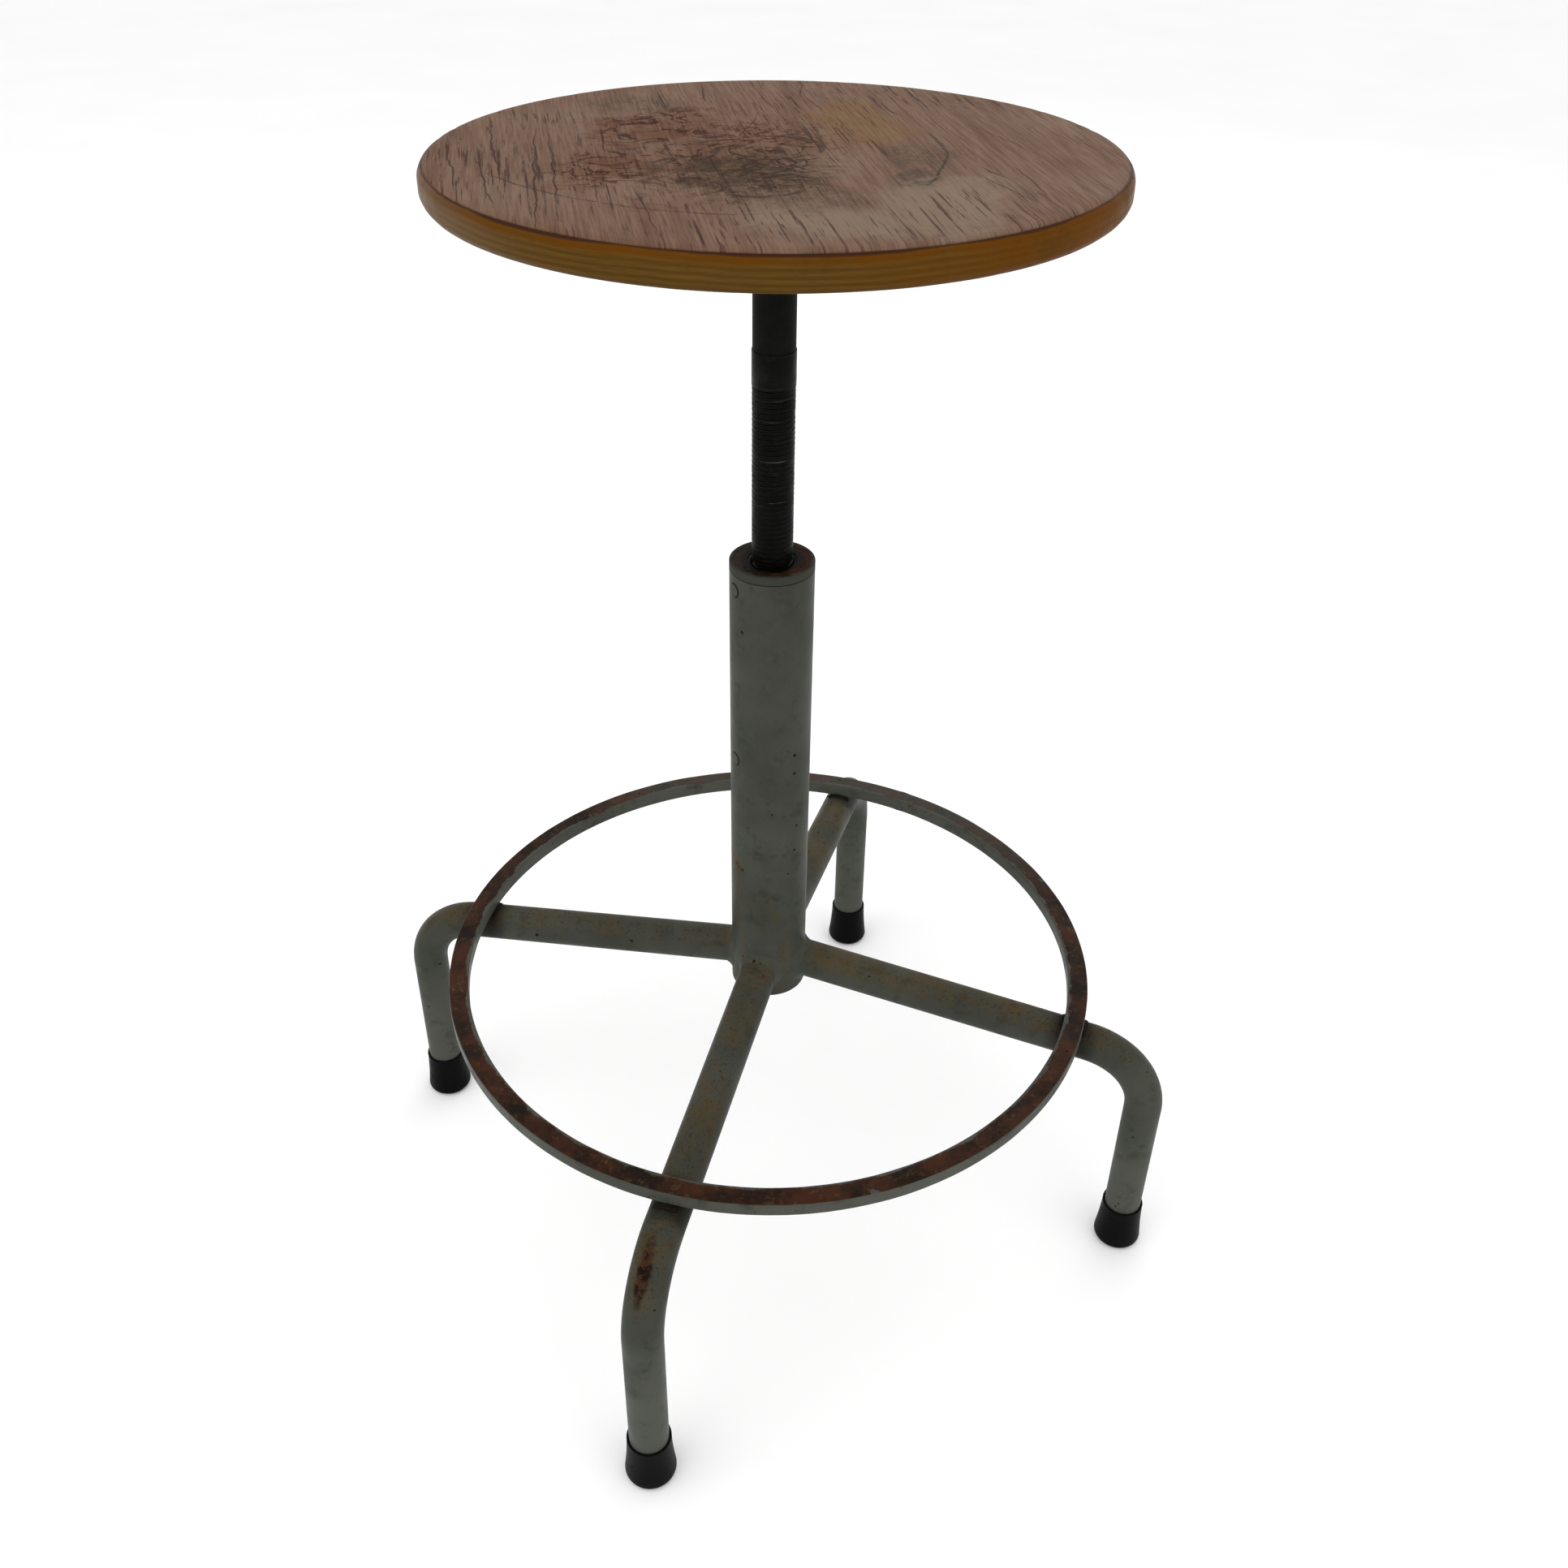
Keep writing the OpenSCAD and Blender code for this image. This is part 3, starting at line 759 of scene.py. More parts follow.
def curved_stroke(look, wobble, centre, radius, along, reach, width):
    """A thin arc of a circle, kept only near one place on it."""
    away = look.distance((centre[0] * MM, centre[1] * MM, 0), (1, 1, 0))
    line = look.math("ADD", look.math("SUBTRACT", away, radius * MM), wobble)
    line = look.math("ABSOLUTE", line)
    thin = look.step(line, width * MM * 0.3, width * MM, 1.0, 0.0)
    near = look.distance((along[0] * MM, along[1] * MM, 0), (1, 1, 0))
    near = look.step(near, reach * MM * 0.7, reach * MM * 1.1, 1.0, 0.0)
    return look.both(thin, near, look.spots(75, 0.32, 0.5, 4))


def edge_look():
    """Varnished plywood edge: stripes of ply, orange near the top with a painted highlight, and a
    plain underside.
    """
    c = colours()
    s = sizes()
    look = Look("Ply_edge_finish", specular=0.012)
    sway = look.spots(16, 0.3, 0.7, 3, 0.5, start=-0.0005, end=0.0005)
    height = look.math("SUBTRACT", look.math("ADD", look.z, sway), SEAT_LOW.z)
    wave = look.math("SINE", look.both(height, pi / s.ply))
    stripe = look.step(wave, -0.9, 0.9, 0.3, 0.8)
    streak = look.noise(1.0, 5, 0.7, vector=look.scaled((55, 55, 1500)))
    base = look.blend(stripe, c.ply_dark, c.ply_light)
    base = look.blend(look.step(streak, 0.35, 0.7, 0.0, 0.65), base, c.ply_dark)
    # more orange at the top, where the orange also paints the highlight on the rounded upper
    # edge, and round to the right
    high = look.step(height, 0.0115, 0.0152)
    right = look.step(look.x, 0.05, 0.165, 0.0, 0.85)
    high = look.both(high, look.step(look.x, -0.16, -0.06, 0.3, 1.0))
    warm = look.either(look.both(high, 0.9), right)
    warm = look.both(warm, look.spots(40, 0.25, 0.6, start=0.45))
    base = look.blend(warm, base, c.varnish_and_highlight)
    grime = look.both(look.spots(26, 0.5, 0.68, 6, 0.75), 0.6)
    base = look.blend(grime, base, c.ply_dark)
    left = look.step(look.x, -0.165, -0.04, 0.4, 0.0)
    base = look.blend(look.both(left, look.without(high)), base, c.pale_and_sheen)
    seam = look.step(height, 0.0158, 0.0168)
    base = look.blend(look.both(seam, 0.9), base, c.crack)
    # darker along the bottom 2.2 mm of the edge, in the crack colour
    low = look.step(height, 0.0, 0.0022, 0.55, 0.0)
    base = look.blend(low, base, c.crack)
    # the underside shows the lowest ply's face
    down = look.without(look.facing_up(-0.98, -0.9))
    along = look.turned(GRAIN_TURN)
    fibre = look.noise(1.0, 6, 0.65, vector=look.scaled((18, 300, 1), along))
    face = look.blend(look.step(fibre, 0.35, 0.65), c.ply_light, c.ply_dark)
    base = look.blend(down, base, face)
    rough = look.spots(70, 0.35, 0.7, start=0.3, end=0.48)
    depth = look.math("ADD", look.both(streak, 0.6), look.both(stripe, 0.4))
    return look.done(base, rough, look.bump(depth, 0.0002, 0.6))


# ---------------------------------------------------------------- seat


def seat_radius(drop, s):
    """Radius of the seat's rounded outline at a drop below its top, or above its underside."""
    if drop >= s.seat_edge:
        return SEAT_RIM.x
    return SEAT_RIM.x - s.seat_edge + sqrt(max(s.seat_edge**2 - (s.seat_edge - drop) ** 2, 0))


class STOOL_OT_seat_board(bpy.types.Operator):
    """Make the plywood board, with each ply standing a little proud or worn back"""

    bl_idname = "stool.seat_board"
    bl_label = "Seat Board"

    def execute(self, context):
        s = sizes()
        top = FACING_TOP.z
        low = SEAT_LOW.z
        board_top = FACING_LOW.z
        points = [(0, low)]
        points += [(SEAT_RIM.x * share, low) for share in (0.2, 0.4, 0.6, 0.8, 0.92)]
        rows = 76
        for row in range(rows + 1):
            height = low + (board_top - low) * row / rows
            radius = seat_radius(min(height - low, top - height), s)
            wave = sin(pi * (height - low) / s.ply)
            radius -= 0.00005 * (1 - wave) / 2 + 0.00008 * exp(-((wave / 0.12) ** 2))
            points.append((radius, height))
        points += [(SEAT_RIM.x * share, board_top) for share in (0.8, 0.5)]
        points.append((0, board_top))
        bm = turned(points, 300)
        for vert in bm.verts:
            across = vert.co.xy.length
            if across > SEAT_RIM.x * 0.95:
                dent = abs(ripple(vert.co, 0.03)) * 0.00035
                dent += max(ripple(vert.co, 0.006, 5.0) - 0.25, 0) * 0.0004
                vert.co.xy *= 1 - dent / across
        piece("seat_board", bm, edge_look(), "seat", ["seat_core"], crease=50)
        return {"FINISHED"}


class STOOL_OT_seat_facing(bpy.types.Operator):
    """Make the worn veneer on the board, dished by use and chipped along its rim"""

    bl_idname = "stool.seat_facing"
    bl_label = "Seat Facing"

    def execute(self, context):
        s = sizes()
        top = FACING_TOP.z
        low = FACING_LOW.z
        flat = seat_radius(0, s)
        points = [(0, low), (flat * 0.6, low)]
        steps = 7
        for step in range(steps + 1):
            height = low + (top - low) * step / steps
            points.append((seat_radius(top - height, s), height))
        points += [(flat * (1 - ring / 46), top) for ring in range(1, 46)]
        points.append((0, top))
        bm = turned(points, 300)
        for vert in bm.verts:
            across = vert.co.xy.length
            if across > flat * 0.97:
                chip = max(ripple(vert.co, 0.010, 3.0) - 0.12, 0) * s.facing_wear
                chip += max(ripple(vert.co, 0.045, 9.0), 0) * 0.0003
                vert.co.xy *= 1 - chip / across
            if vert.co.z > top - 0.0001 and across < flat * 0.97:
                dish = 0.00045 * (1 - (across / flat) ** 2)
                vert.co.z -= dish + (ripple(vert.co, 0.05, 2.0) + 1) * 0.00008
        piece("seat_facing", bm, facing_look(), "seat", ["seat_veneer"], crease=40)
        return {"FINISHED"}


def slotted_screw(head, shank, head_height, reach):
    """A countersunk screw, head down, with a slot across its head."""
    bm = bmesh.new()
    bmesh.ops.create_circle(bm, cap_ends=True, segments=32, radius=head)
    lid = list(bm.faces)
    bmesh.ops.inset_region(bm, faces=lid, thickness=head * 0.12, use_even_offset=True)
    for side in (-1, 1):
        region = [f for f in bm.faces if all(v.co.xy.length < head * 0.9 for v in f.verts)]
        geometry = region + list({e for f in region for e in f.edges})
        geometry += list({v for f in region for v in f.verts})
        cut_place = (side * head * 0.13, 0, 0)
        bmesh.ops.bisect_plane(bm, geom=geometry, plane_co=cut_place, plane_no=(1, 0, 0))
    middles = [(face, face.calc_center_median()) for face in bm.faces]
    slot = [f for f, at in middles if abs(at.x) < head * 0.1 and at.xy.length < head * 0.3]
    cut = bmesh.ops.extrude_face_region(bm, geom=slot)
    moved = [g for g in cut["geom"] if isinstance(g, bmesh.types.BMVert)]
    bmesh.ops.translate(bm, verts=moved, vec=(0, 0, head_height * 0.55))
    bmesh.ops.delete(bm, geom=[f for f in slot if f.is_valid], context="FACES")
    rim = [e for e in bm.edges if e.is_boundary]
    for scale, rise in ((shank / head, head_height), (1.0, reach - head_height), (0.05, shank)):
        grown = bmesh.ops.extrude_edge_only(bm, edges=rim)["geom"]
        verts = [g for g in grown if isinstance(g, bmesh.types.BMVert)]
        rim = [g for g in grown if isinstance(g, bmesh.types.BMEdge)]
        bmesh.ops.scale(bm, vec=(scale, scale, 1), verts=verts)
        bmesh.ops.translate(bm, verts=verts, vec=(0, 0, rise))
    bmesh.ops.edgeloop_fill(bm, edges=rim)
    bmesh.ops.recalc_face_normals(bm, faces=bm.faces)
    return bm


class STOOL_OT_seat_fixings(bpy.types.Operator):
    """Make the plate, hub, weld and slotted screws under the seat"""

    bl_idname = "stool.seat_fixings"
    bl_label = "Seat Fixings"

    def execute(self, context):
        c = colours()
        dark = steel_look("Plate_finish", c.neck, 0.5, 0.6)
        bright = steel_look("Fastener_finish", c.bare, 0.38, 0.25)
        self.plate(dark)
        self.hub(dark)
        self.screws(bright)
        finish_node("hub_pin", bright)
        return {"FINISHED"}

    def plate(self, look):
        edge = 0.8 * MM
        outer = PLATE_TOP.x
        inner = SPINDLE_TOP.x - sizes().neck_step + 0.02 * MM
        points = [(inner, PLATE_TOP.z), (inner, PLATE_LOW.z)]
        points += arc(outer - edge, PLATE_LOW.z + edge, edge, -90, 0, 4)
        points.append((outer, PLATE_TOP.z))
        bm = turned(points, 120, closed=True)
        piece("seat_plate_disc", bm, look, "seat", ["seat_plate"])

    def hub(self, look):
        edge = 1.0 * MM
        outer = HUB_TOP.x
        inner = SPINDLE_TOP.x - sizes().neck_step + 0.02 * MM
        points = [(inner, HUB_TOP.z), (inner, HUB_LOW.z)]
        points += arc(outer - edge, HUB_LOW.z + edge, edge, -90, 0, 5)
        points.append((outer, HUB_TOP.z))
        bm = turned(points, 96, closed=True)
        piece("hub_collar", bm, look, "seat", ["seat_hub"])
        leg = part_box("hub_weld")[1].x - outer

        def place(u, v):
            turn = 2 * pi * u
            lump = 1 + 0.16 * sin(turn * 34) + 0.2 * ripple((cos(turn), sin(turn), 0), 0.3)
            around = 2 * pi * v
            radius = outer + leg * (0.25 + 0.42 * lump * cos(around))
            height = HUB_TOP.z - leg * (0.22 - 0.42 * lump * sin(around))
            return Vector((radius * cos(turn), radius * sin(turn), min(height, HUB_TOP.z)))

        bead = sheet(240, 12, place)
        look = soot_weld_look()
        piece("hub_weld_bead", bead, look, "seat", ["hub_weld"], crease=60)

    def screws(self, look):
        head = sizes().screw_head
        shank = sizes().screw_shank
        middle = (SCREWS_TOP.x - head) / cos(radians(45))
        group = bmesh.new()
        for number in range(4):
            turn = radians(45 + 90 * number)
            spot = Vector((middle * cos(turn), middle * sin(turn), SCREWS_LOW.z))
            screw = slotted_screw(head, shank, head - shank, SCREWS_TOP.z - SCREWS_LOW.z - shank)
            own_turn = Matrix.Rotation(radians(23 + 61 * number), 4, "Z")
            join(group, screw, Matrix.Translation(spot) @ own_turn)
        piece("slotted_screws", group, look, "seat", ["seat_screws"], crease=30)


# ---------------------------------------------------------------- spindle


class STOOL_OT_spindle(bpy.types.Operator):
    """Make the screw rod with a true helical thread and grease packed in it"""

    bl_idname = "stool.spindle"
    bl_label = "Spindle"

    def execute(self, context):
        s = sizes()
        band_radius = SPINDLE_TOP.x
        crest = band_radius - 0.2 * MM
        root = crest - s.thread_depth
        neck = band_radius - s.neck_step
        low = SPINDLE_LOW.z
        top = SPINDLE_TOP.z
        neck_low = top - s.neck
        thread_top = neck_low - s.band
        edge = 0.35 * MM
        chamfer = 0.6 * MM
        rod = [(0, low), (root - chamfer, low), (root, low + chamfer)]
        rod += [(root, thread_top - 2 * chamfer), (crest, thread_top)]
        rod.append((band_radius - edge, thread_top))
        rod += arc(band_radius - edge, thread_top + edge, edge, -90, 0, 3)
        rod += arc(band_radius - edge, neck_low - edge, edge, 0, 90, 3)
        rod += [(neck + 0.05 * MM, neck_low), (neck, neck_low + 0.3 * MM), (neck, top), (0, top)]
        bm = turned(rod, 96)
        join(bm, self.helix(root, crest, low + 1.5 * MM, thread_top + 2.5 * MM, s))
        piece("spindle_rod", bm, spindle_look(), "seat", ["spindle"], crease=38)
        self.packed_grease(root, crest, s)
        return {"FINISHED"}

    def helix(self, root, crest, low, high, s):
        """The thread's ridge, wound up from its lower end."""
        pitch = s.thread_pitch
        sunk = root - 0.25 * MM
        foot = pitch * 0.46
        land = pitch * 0.11
        outline = [(sunk, -foot), (crest, -land), (crest, land), (sunk, foot)]
        steps_per_turn = 40
        turns = (high - low - 2 * foot) / pitch
        steps = int(turns * steps_per_turn)
        bm = bmesh.new()
        verts = [bm.verts.new((across, 0, low + foot + height)) for across, height in outline]
        start = bm.faces.new(verts)
        wound = bmesh.ops.spin(
            bm,
            geom=[start],
            cent=(0, 0, 0),
            axis=UP,
            dvec=(0, 0, pitch / steps_per_turn),
            angle=2 * pi * steps / steps_per_turn,
            steps=steps,
            use_merge=False,
            use_normal_flip=False,
            use_duplicate=False,
        )
        last = [g for g in wound["geom_last"] if isinstance(g, bmesh.types.BMFace)]
        self.taper(verts, last)
        for vert in bm.verts:
            across = vert.co.xy.length
            if across > root:
                nick = max(ripple(vert.co, 0.0035, 4.0) - 0.28, 0) * 0.0006
                vert.co.xy *= 1 - nick / across
        bmesh.ops.recalc_face_normals(bm, faces=bm.faces)
        return bm

    def taper(self, first, last):
        """Brings both ends of the ridge down to the root."""
        ends = [first, [v for face in last for v in face.verts]]
        for verts in ends:
            inner = min(v.co.xy.length for v in verts)
            for vert in verts:
                vert.co.xy *= inner / vert.co.xy.length

    def packed_grease(self, root, crest, s):
        """Grease that fills the thread just above the nut, thinning upward."""
        low = NUT_TOP.z + 0.5 * MM
        rows = 240
        columns = 96
        inside = root - 0.4 * MM
        outside = crest - 0.06 * MM
        points = [(inside, low)]
        points += [(outside, low + s.grease * row / rows) for row in range(rows + 1)]
        points.append((inside, low + s.grease))
        bm = turned(points, columns, closed=True)
        for vert in bm.verts:
            across = vert.co.xy.length
            if across < inside + 0.05 * MM:
                continue
            share = (vert.co.z - low) / s.grease
            turn = atan2(vert.co.y, vert.co.x)
            groove = cos(2 * pi * (vert.co.z - low) / s.thread_pitch - turn)
            dry = min(max((share - 0.3) / 0.15, 0), 1)
            sink = (0.03 + 0.07 * dry) * MM * (1 - groove)
            sink += (0.08 + 0.08 * dry) * MM * (ripple(vert.co, 0.005, 7.0) + 0.4)
            vert.co.xy *= 1 - sink / across
        piece("thread_grease", bm, grease_look(), "seat", crease=60)


# ---------------------------------------------------------------- column


class STOOL_OT_column(bpy.types.Operator):
    """Finish the column and its pins, and make the nut with its soft edges"""

    bl_idname = "stool.column"
    bl_label = "Column"

    def execute(self, context):
        paint = painted_look("Column_paint", stained=0.3, low_rust=True)
        for name in ("column_tube", "upper_pins", "lower_pins", "bottom_cap"):
            finish_node(name, paint)
        self.nut()
        return {"FINISHED"}

    def nut(self):
        bore = SPINDLE_TOP.x - 0.15 * MM
        body = NUT_TOP.x - 2.52 * MM
        flange = NUT_TOP.x
        low = NUT_LOW.z
        seam = COLUMN_TOP.z
        top = NUT_TOP.z
        edge = 0.7 * MM
        sink = 3 * MM
        points = [(bore, top - sink), (bore, low), (body, low), (body, seam)]
        points += arc(flange - 0.35 * MM, seam + 0.35 * MM, 0.35 * MM, -90, 0, 3)
        points += arc(flange - edge, top - edge, edge, 0, 90, 5)
        points += arc(bore + sink - 0.4 * MM, top - 0.4 * MM, 0.4 * MM, 90, 135, 3)
        bm = turned(points, 128, closed=True)
        piece("flanged_nut", bm, nut_look(), "base", ["top_nut"], crease=40)
        self.grease_ring(top)

    def grease_ring(self, top):
        """Grease squeezed out round the spindle into the nut's countersink."""
        inner = SPINDLE_TOP.x + 0.06 * MM
        outer = inner + 2.6 * MM
        points = [(inner, top - 2.8 * MM), (outer - 1.6 * MM, top - 2.4 * MM)]
        points += [(outer, top - 0.5 * MM), (inner + 0.8 * MM, top - 0.9 * MM)]
        points.append((inner, top - 1.4 * MM))
        bm = turned(points, 96, closed=True)
        for vert in bm.verts:
            vert.co.z -= abs(ripple(vert.co, 0.004, 8.0)) * 0.4 * MM
        piece("nut_grease", bm, grease_look(), "base", crease=80)


class STOOL_OT_inner_fittings(bpy.types.Operator):
    """Finish the bush, the stop and the washers that the tubes hide"""

    bl_idname = "stool.inner_fittings"
    bl_label = "Inner Fittings"

    def execute(self, context):
        look = steel_look("Inner_steel_finish", colours().bare, 0.42, 0.3)
        for name in ("guide_bush", "stop_washer", "stop_bolt", "ferrule_washers"):
            finish_node(name, look)
        return {"FINISHED"}


# ---------------------------------------------------------------- legs


class STOOL_OT_legs(bpy.types.Operator):
    """Give the leg tubes their paint, with the front leg's bend rubbed to rust"""

    bl_idname = "stool.legs"
    bl_label = "Legs"

    def execute(self, context):
        plain = painted_look("Leg_paint", stained=0.75, soot_and_shade=True)
        bend = (-0.0015, -0.254, 0.180)
        front = painted_look("Front_leg_paint", 0.75, True, (bend, 0.009, (1.9, 0.42, 0.42)))
        for name in ("leg_right", "leg_back", "leg_left"):
            finish_node(name, plain)
        finish_node("leg_front", front)
        return {"FINISHED"}


def crown(across, s):
    """Height of the top of a leg's tube at a distance from the axis."""
    return s.leg_root - across * tan(s.leg_slope) + s.leg_radius / cos(s.leg_slope)


class STOOL_OT_leg_welds(bpy.types.Operator):
    """Make the fillet welds that run round each leg where it meets the column"""

    bl_idname = "stool.leg_welds"
    bl_label = "Leg Welds"

    def execute(self, context):
        s = sizes()
        group = bmesh.new()
        for number, degrees in enumerate(LEG_TURNS.values()):
            bead = self.fillet(s, number)
            join(group, bead, Matrix.Rotation(radians(degrees), 4, "Z"))
        look = painted_look("Weld_paint", stained=0.6)
        piece("leg_weld_beads", group, look, "base", ["leg_welds"], crease=70)
        return {"FINISHED"}

    def on_saddle(self, turn, tube, column, s):
        """The point where a tube of this radius meets a column of that radius."""
        side = tube * cos(turn)
        lift = tube * sin(turn)
        run = (sqrt(column**2 - side**2) - lift * sin(s.leg_slope)) / cos(s.leg_slope)
        return self.beside(turn, tube, run, s)

    def beside(self, turn, tube, run, s):
        """The point at a turn round the leg's axis and a run along it."""
        slope = s.leg_slope
        lift = tube * sin(turn)
        return Vector(
            (
                run * cos(slope) + lift * sin(slope),
                tube * cos(turn),
                s.leg_root - run * sin(slope) + lift * cos(slope),
            )
        )

    def fillet(self, s, number):
        tube = s.leg_radius
        column = COLUMN_TOP.x
        rows = 12
        seed = 11.0 * number

        def place(u, v):
            turn = 2 * pi * u
            wander = ripple((cos(turn) * 3, sin(turn) * 3, seed), 1.0)
            width = s.weld * (1 + 0.16 * wander)
            upper = self.on_saddle(turn, tube + width, column - 0.2 * MM, s)
            corner = self.on_saddle(turn, tube, column, s)
            run = (corner - self.beside(turn, tube, 0, s)).length
            lower = self.beside(turn, tube - 0.2 * MM, run + width, s)
            buried = self.on_saddle(turn, tube - 1.2 * MM, column - 1.2 * MM, s)
            row = round(v * rows)
            if row in (0, rows):
                return buried
            share = (row - 1) / (rows - 2)
            pull = corner.lerp((upper + lower) / 2, 0.42 + 0.12 * ripple((u * 40, seed, 0), 1.0))
            bow = upper.lerp(pull, share).lerp(pull.lerp(lower, share), share)
            ridge = 0.12 * MM * sin(turn * 46 + 2 * wander) * sin(pi * share)
            return bow + (bow - buried).normalized() * ridge

        return sheet(s.bead_steps, rows, place)


# ---------------------------------------------------------------- foot ring


class STOOL_OT_foot_ring(bpy.types.Operator):
    """Make the bent flat bar, with soft corners and the weld where its ends meet"""

    bl_idname = "stool.foot_ring"
    bl_label = "Foot Ring"

    def execute(self, context):
        s = sizes()
        outer = RING_TOP.x
        inner = ring_inner()
        corner = s.ring_corner
        low = RING_LOW.z
        top = RING_TOP.z
        middle = (outer + inner) / 2
        points = arc(outer - corner, low + corner, corner, -90, 0, 4)
        points += [(outer, low + (top - low) * share) for share in (0.35, 0.65)]
        points += arc(outer - corner, top - corner, corner, 0, 90, 4)
        points += [(middle + 2.5 * MM, top), (middle - 2.5 * MM, top)]
        points += arc(inner + corner, top - corner, corner, 90, 180, 4)
        points += [(inner, low + (top - low) * share) for share in (0.65, 0.35)]
        points += arc(inner + corner, low + corner, corner, 180, 270, 4)
        points += [(middle - 2.5 * MM, low), (middle + 2.5 * MM, low)]
        bm = turned(points, 420, closed=True)
        joint_turn = radians(76)
        height_middle = (low + top) / 2
        for vert in bm.verts:
            turn = atan2(vert.co.y, vert.co.x)
            across = vert.co.xy.length
            gap = abs((turn - joint_turn + pi) % (2 * pi) - pi) * middle
            bulge = 0.45 * MM * exp(-((gap / (2.2 * MM)) ** 2))
            bulge += 0.12 * MM * ripple(vert.co, 0.02, 1.0)
            bulge += 0.05 * MM * ripple(vert.co, 0.005, 6.0)
            out = Vector((across - middle, vert.co.z - height_middle)).normalized()
            vert.co.xy *= (across + bulge * out.x) / across
            vert.co.z += bulge * out.y * (1 if out.y > 0 else 0.2)
        piece("foot_ring_bar", bm, ring_look(), "base", ["foot_ring"], crease=60)
        self.tacks(s, inner, outer)
        return {"FINISHED"}

    def tacks(self, s, inner, outer):
        """Lumpy welds on both flanks of each leg, under the ring."""
        group = bmesh.new()
        number = 0
        for degrees in LEG_TURNS.values():
            for across in (inner + 0.4 * MM, outer - 0.4 * MM):
                number += 1
                blob = bmesh.new()
                bmesh.ops.create_icosphere(blob, subdivisions=4, radius=1.0)
                lean = 1 if across > (inner + outer) / 2 else -1
                drop = crown(across, s)
                for vert in blob.verts:
                    lump = 1 + 0.22 * ripple(vert.co, 0.6, number)
                    side = vert.co.y * 8.5 * MM * lump
                    sag = s.leg_radius - sqrt(s.leg_radius**2 - side**2)
                    height = drop - sag * 0.85 + vert.co.z * 2.0 * MM * lump
                    height = min(height, RING_LOW.z + 1.5 * MM)
                    out = across + vert.co.x * 3.0 * MM * lump + lean * 0.3 * MM
                    vert.co = Vector((out, side, height))
                join(group, blob, Matrix.Rotation(radians(degrees), 4, "Z"))
        look = soot_weld_look("Ring_weld_finish")
        piece("ring_weld_beads", group, look, "base", ["ring_welds"], crease=70)


# ---------------------------------------------------------------- feet


class STOOL_OT_ferrules(bpy.types.Operator):
    """Make the moulded rubber ferrules on the legs' feet"""

    bl_idname = "stool.ferrules"
    bl_label = "Ferrules"

    def execute(self, context):
        look = rubber_look()
        for name, degrees in LEG_TURNS.items():
            bm = self.ferrule()
            reach = (FERRULE_LOW.x + FERRULE_TOP.x) / 2
            for vert in bm.verts:
                across = vert.co.xy.length
                if across > 13 * MM:
                    dent = abs(ripple(vert.co, 0.012, degrees)) * 0.12 * MM
                    vert.co.xy *= 1 - dent / across
            turn = Matrix.Rotation(radians(degrees), 4, "Z")
            bm.transform(turn @ Matrix.Translation((reach, 0, 0)))
            node = f"ferrule_{name}"
            piece(f"rubber_foot_{name}", bm, look, "base", [node], crease=45)
        return {"FINISHED"}

    def ferrule(self):
        """Outline: tread, rounded lower edge, slightly hollow wall, soft lip and bore."""
        base = (FERRULE_TOP.x - FERRULE_LOW.x) / 2
        height = FERRULE_TOP.z
        bore = sizes().leg_radius + 0.02 * MM
        lip = bore + 1.5 * MM
        edge = 4.5 * MM
        floor = 8 * MM
        points = [(0, 0), (base - edge - 3 * MM, 0)]
        points += arc(base - edge, edge, edge, -90, 0, 8)
        wall = height - edge - 2.5 * MM
        for step in range(1, 8):
            share = step / 8
            hollow = 0.35 * MM * sin(pi * share)
            points.append((base + (lip - base) * share - hollow, edge + wall * share))
        points += [(lip, height - 2.2 * MM)]
        points += arc(lip - 0.5 * MM, height - 0.5 * MM, 0.5 * MM, 0, 90, 4)
        points += [(bore + 0.35 * MM, height), (bore, height - 0.35 * MM)]
        points += [(bore, floor), (0, floor)]
        return turned(points, 96)


# ---------------------------------------------------------------- stage


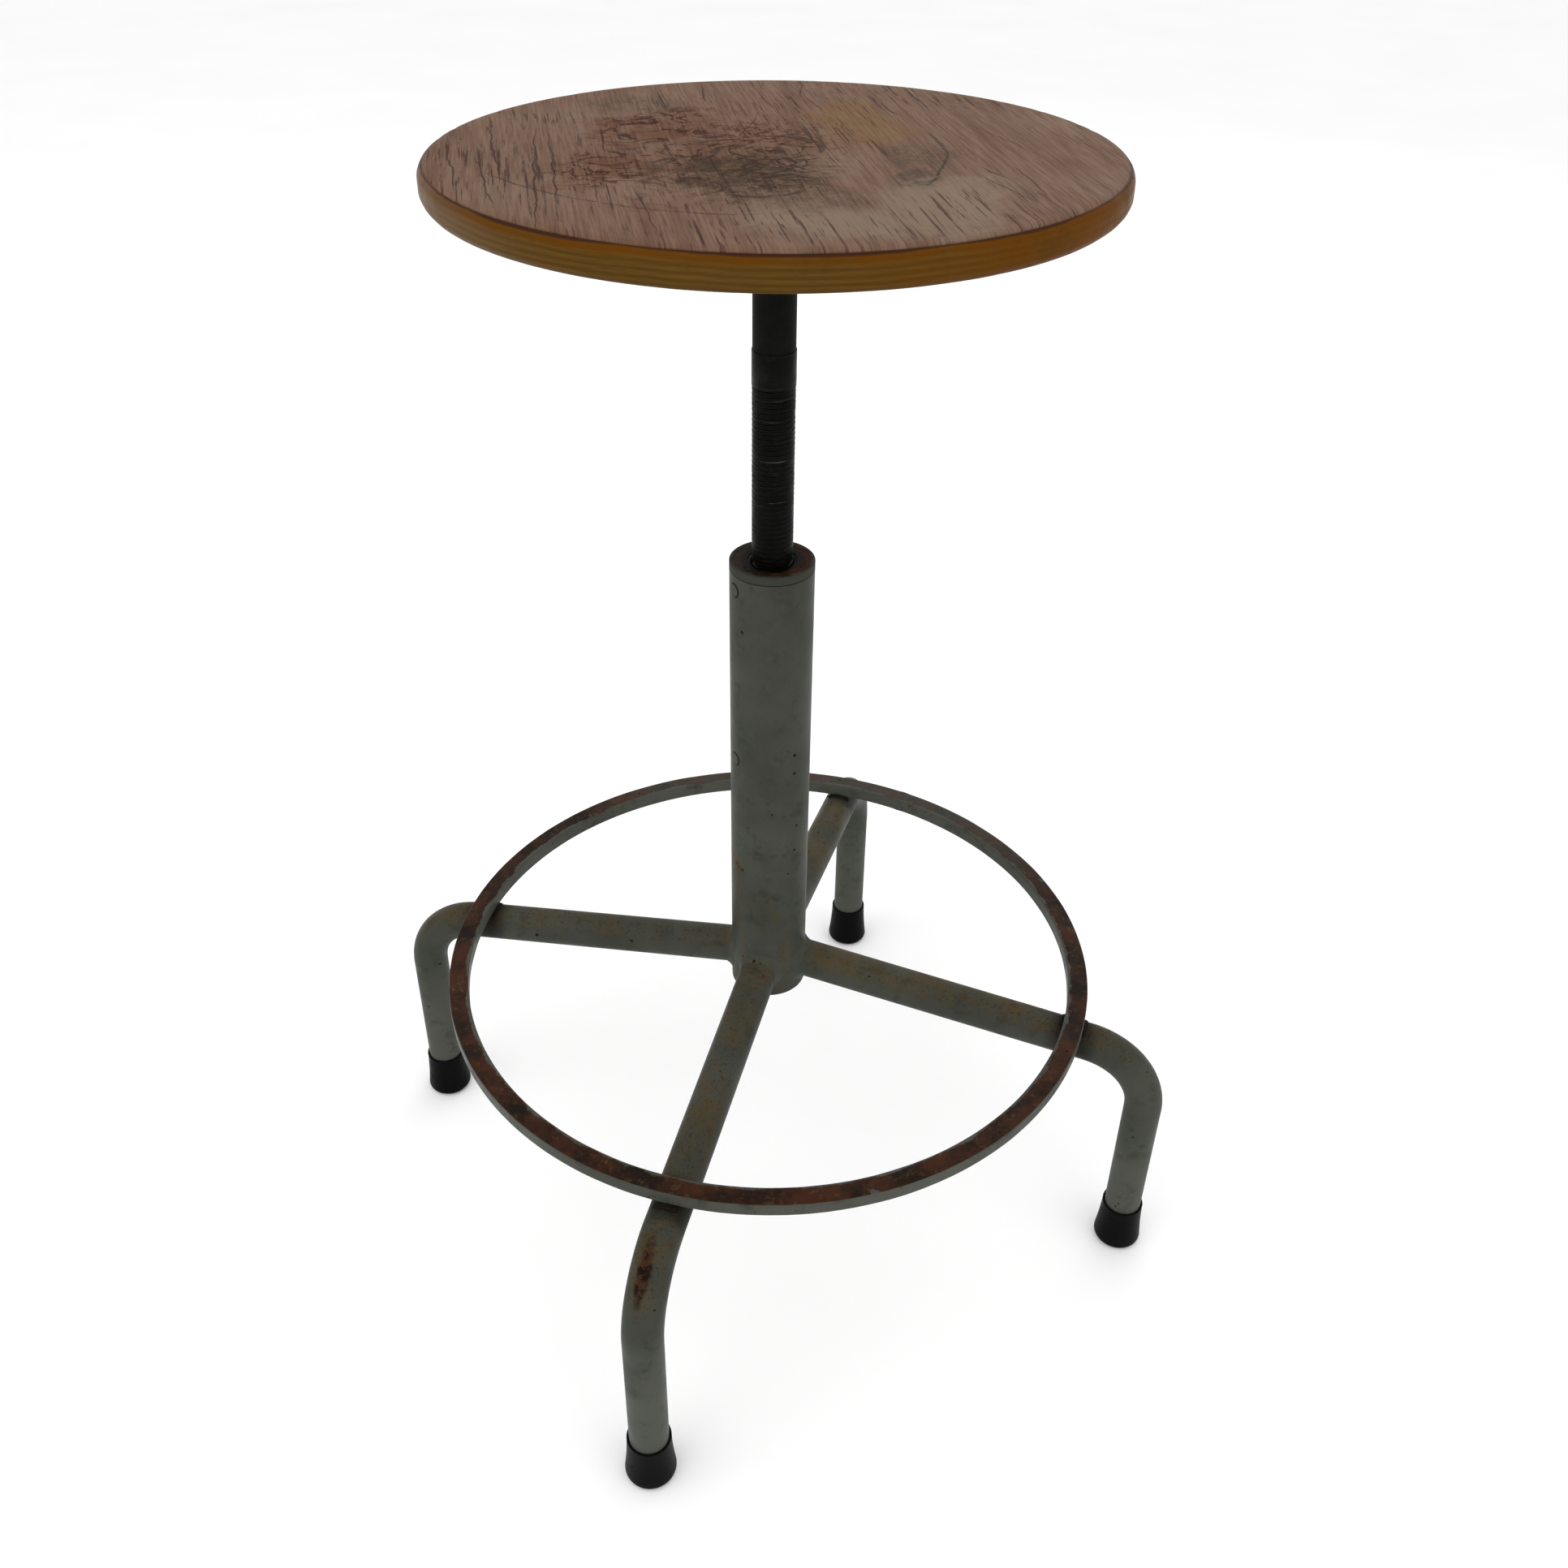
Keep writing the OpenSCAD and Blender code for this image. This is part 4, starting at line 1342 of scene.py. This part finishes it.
class STOOL_OT_stage(bpy.types.Operator):
    """Lay the pale floor, hang the soft lights and set the camera"""

    bl_idname = "stool.stage"
    bl_label = "Stage"

    def execute(self, context):
        self.floor()
        self.world()
        self.light("Key_light", (-1.3, -1.5, 2.4), 2.4, 20)
        self.light("Fill_light", (1.9, -0.9, 1.7), 2.2, 10)
        self.light("Back_light", (0.4, 2.2, 2.2), 2.0, 10)
        self.camera()
        return {"FINISHED"}

    def floor(self):
        bm = bmesh.new()
        bmesh.ops.create_grid(bm, x_segments=2, y_segments=2, size=30.0)
        mesh = bpy.data.meshes.new("floor")
        bm.to_mesh(mesh)
        bm.free()
        look = Look("Floor_finish", roughness=0.9, specular=0.1)
        grain = look.spots(3, 0.3, 0.7, 2, 0.5, end=0.02)
        mesh.materials.append(look.done(look.blend(grain, colours().floor, colours().pale_and_sheen)))
        floor = bpy.data.objects.new("floor", mesh)
        bpy.context.scene.collection.objects.link(floor)

    def world(self):
        world = bpy.data.worlds.new("Studio_air")
        world.use_nodes = True
        air = world.node_tree.nodes["Background"]
        air.inputs["Color"].default_value = (1.0, 1.0, 1.0, 1.0)
        air.inputs["Strength"].default_value = 1.0
        bpy.context.scene.world = world
        bpy.context.scene.view_settings.view_transform = "Standard"

    def light(self, name, place, size, watts):
        data = bpy.data.lights.new(name, "AREA")
        data.size = size
        data.energy = watts
        lamp = bpy.data.objects.new(name, data)
        lamp.location = place
        aim = Vector((0, 0, 0.35)) - Vector(place)
        lamp.rotation_euler = aim.to_track_quat("-Z", "Y").to_euler()
        bpy.context.scene.collection.objects.link(lamp)

    def camera(self):
        azimuth = radians(15.5)
        pitch = radians(-34.845)
        yaw = radians(-0.232)
        roll = radians(0.42)
        away = 0.788156
        data = bpy.data.cameras.new("Camera")
        data.sensor_width = 36.0
        data.lens = 34.84
        data.shift_x = 0.0120
        data.shift_y = -0.0103
        data.clip_end = 100.0
        forward = Vector((sin(yaw) * cos(pitch), cos(yaw) * cos(pitch), sin(pitch)))
        right = Vector((cos(yaw), -sin(yaw), 0))
        up = right.cross(forward)
        rolled_right = right * cos(roll) + up * sin(roll)
        rolled_up = up * cos(roll) - right * sin(roll)
        facing = Matrix((rolled_right, rolled_up, -forward)).transposed().to_4x4()
        place = Matrix.Translation((0, -away, 0.909247)) @ facing
        camera = bpy.data.objects.new("Camera", data)
        camera.matrix_world = Matrix.Rotation(azimuth, 4, "Z") @ place
        bpy.context.scene.collection.objects.link(camera)
        bpy.context.scene.camera = camera


class STOOL_PT_panel(bpy.types.Panel):
    """Lists the stool's pieces in the sidebar"""

    bl_idname = "STOOL_PT_panel"
    bl_label = "Swivel Stool"
    bl_space_type = "VIEW_3D"
    bl_region_type = "UI"
    bl_category = "Stool"

    def draw(self, context):
        for operator in OPERATORS:
            self.layout.operator(operator.bl_idname)
        for group in (context.scene.stool_sizes, context.scene.stool_colours):
            column = self.layout.column()
            for key in group.__annotations__:
                column.prop(group, key)


OPERATORS = (
    STOOL_OT_seat_board,
    STOOL_OT_seat_facing,
    STOOL_OT_seat_fixings,
    STOOL_OT_spindle,
    STOOL_OT_column,
    STOOL_OT_inner_fittings,
    STOOL_OT_legs,
    STOOL_OT_leg_welds,
    STOOL_OT_foot_ring,
    STOOL_OT_ferrules,
    STOOL_OT_stage,
)
CLASSES = (StoolSizes, StoolColours, *OPERATORS, STOOL_PT_panel)


def register():
    for cls in CLASSES:
        bpy.utils.register_class(cls)
    bpy.types.Scene.stool_sizes = PointerProperty(type=StoolSizes)
    bpy.types.Scene.stool_colours = PointerProperty(type=StoolColours)


def unregister():
    del bpy.types.Scene.stool_colours
    del bpy.types.Scene.stool_sizes
    for cls in reversed(CLASSES):
        bpy.utils.unregister_class(cls)


def main():
    register()
    bpy.ops.stool.seat_board()
    bpy.ops.stool.seat_facing()
    bpy.ops.stool.seat_fixings()
    bpy.ops.stool.spindle()
    bpy.ops.stool.column()
    bpy.ops.stool.inner_fittings()
    bpy.ops.stool.legs()
    bpy.ops.stool.leg_welds()
    bpy.ops.stool.foot_ring()
    bpy.ops.stool.ferrules()
    bpy.ops.stool.stage()


if __name__ == "__main__":
    main()
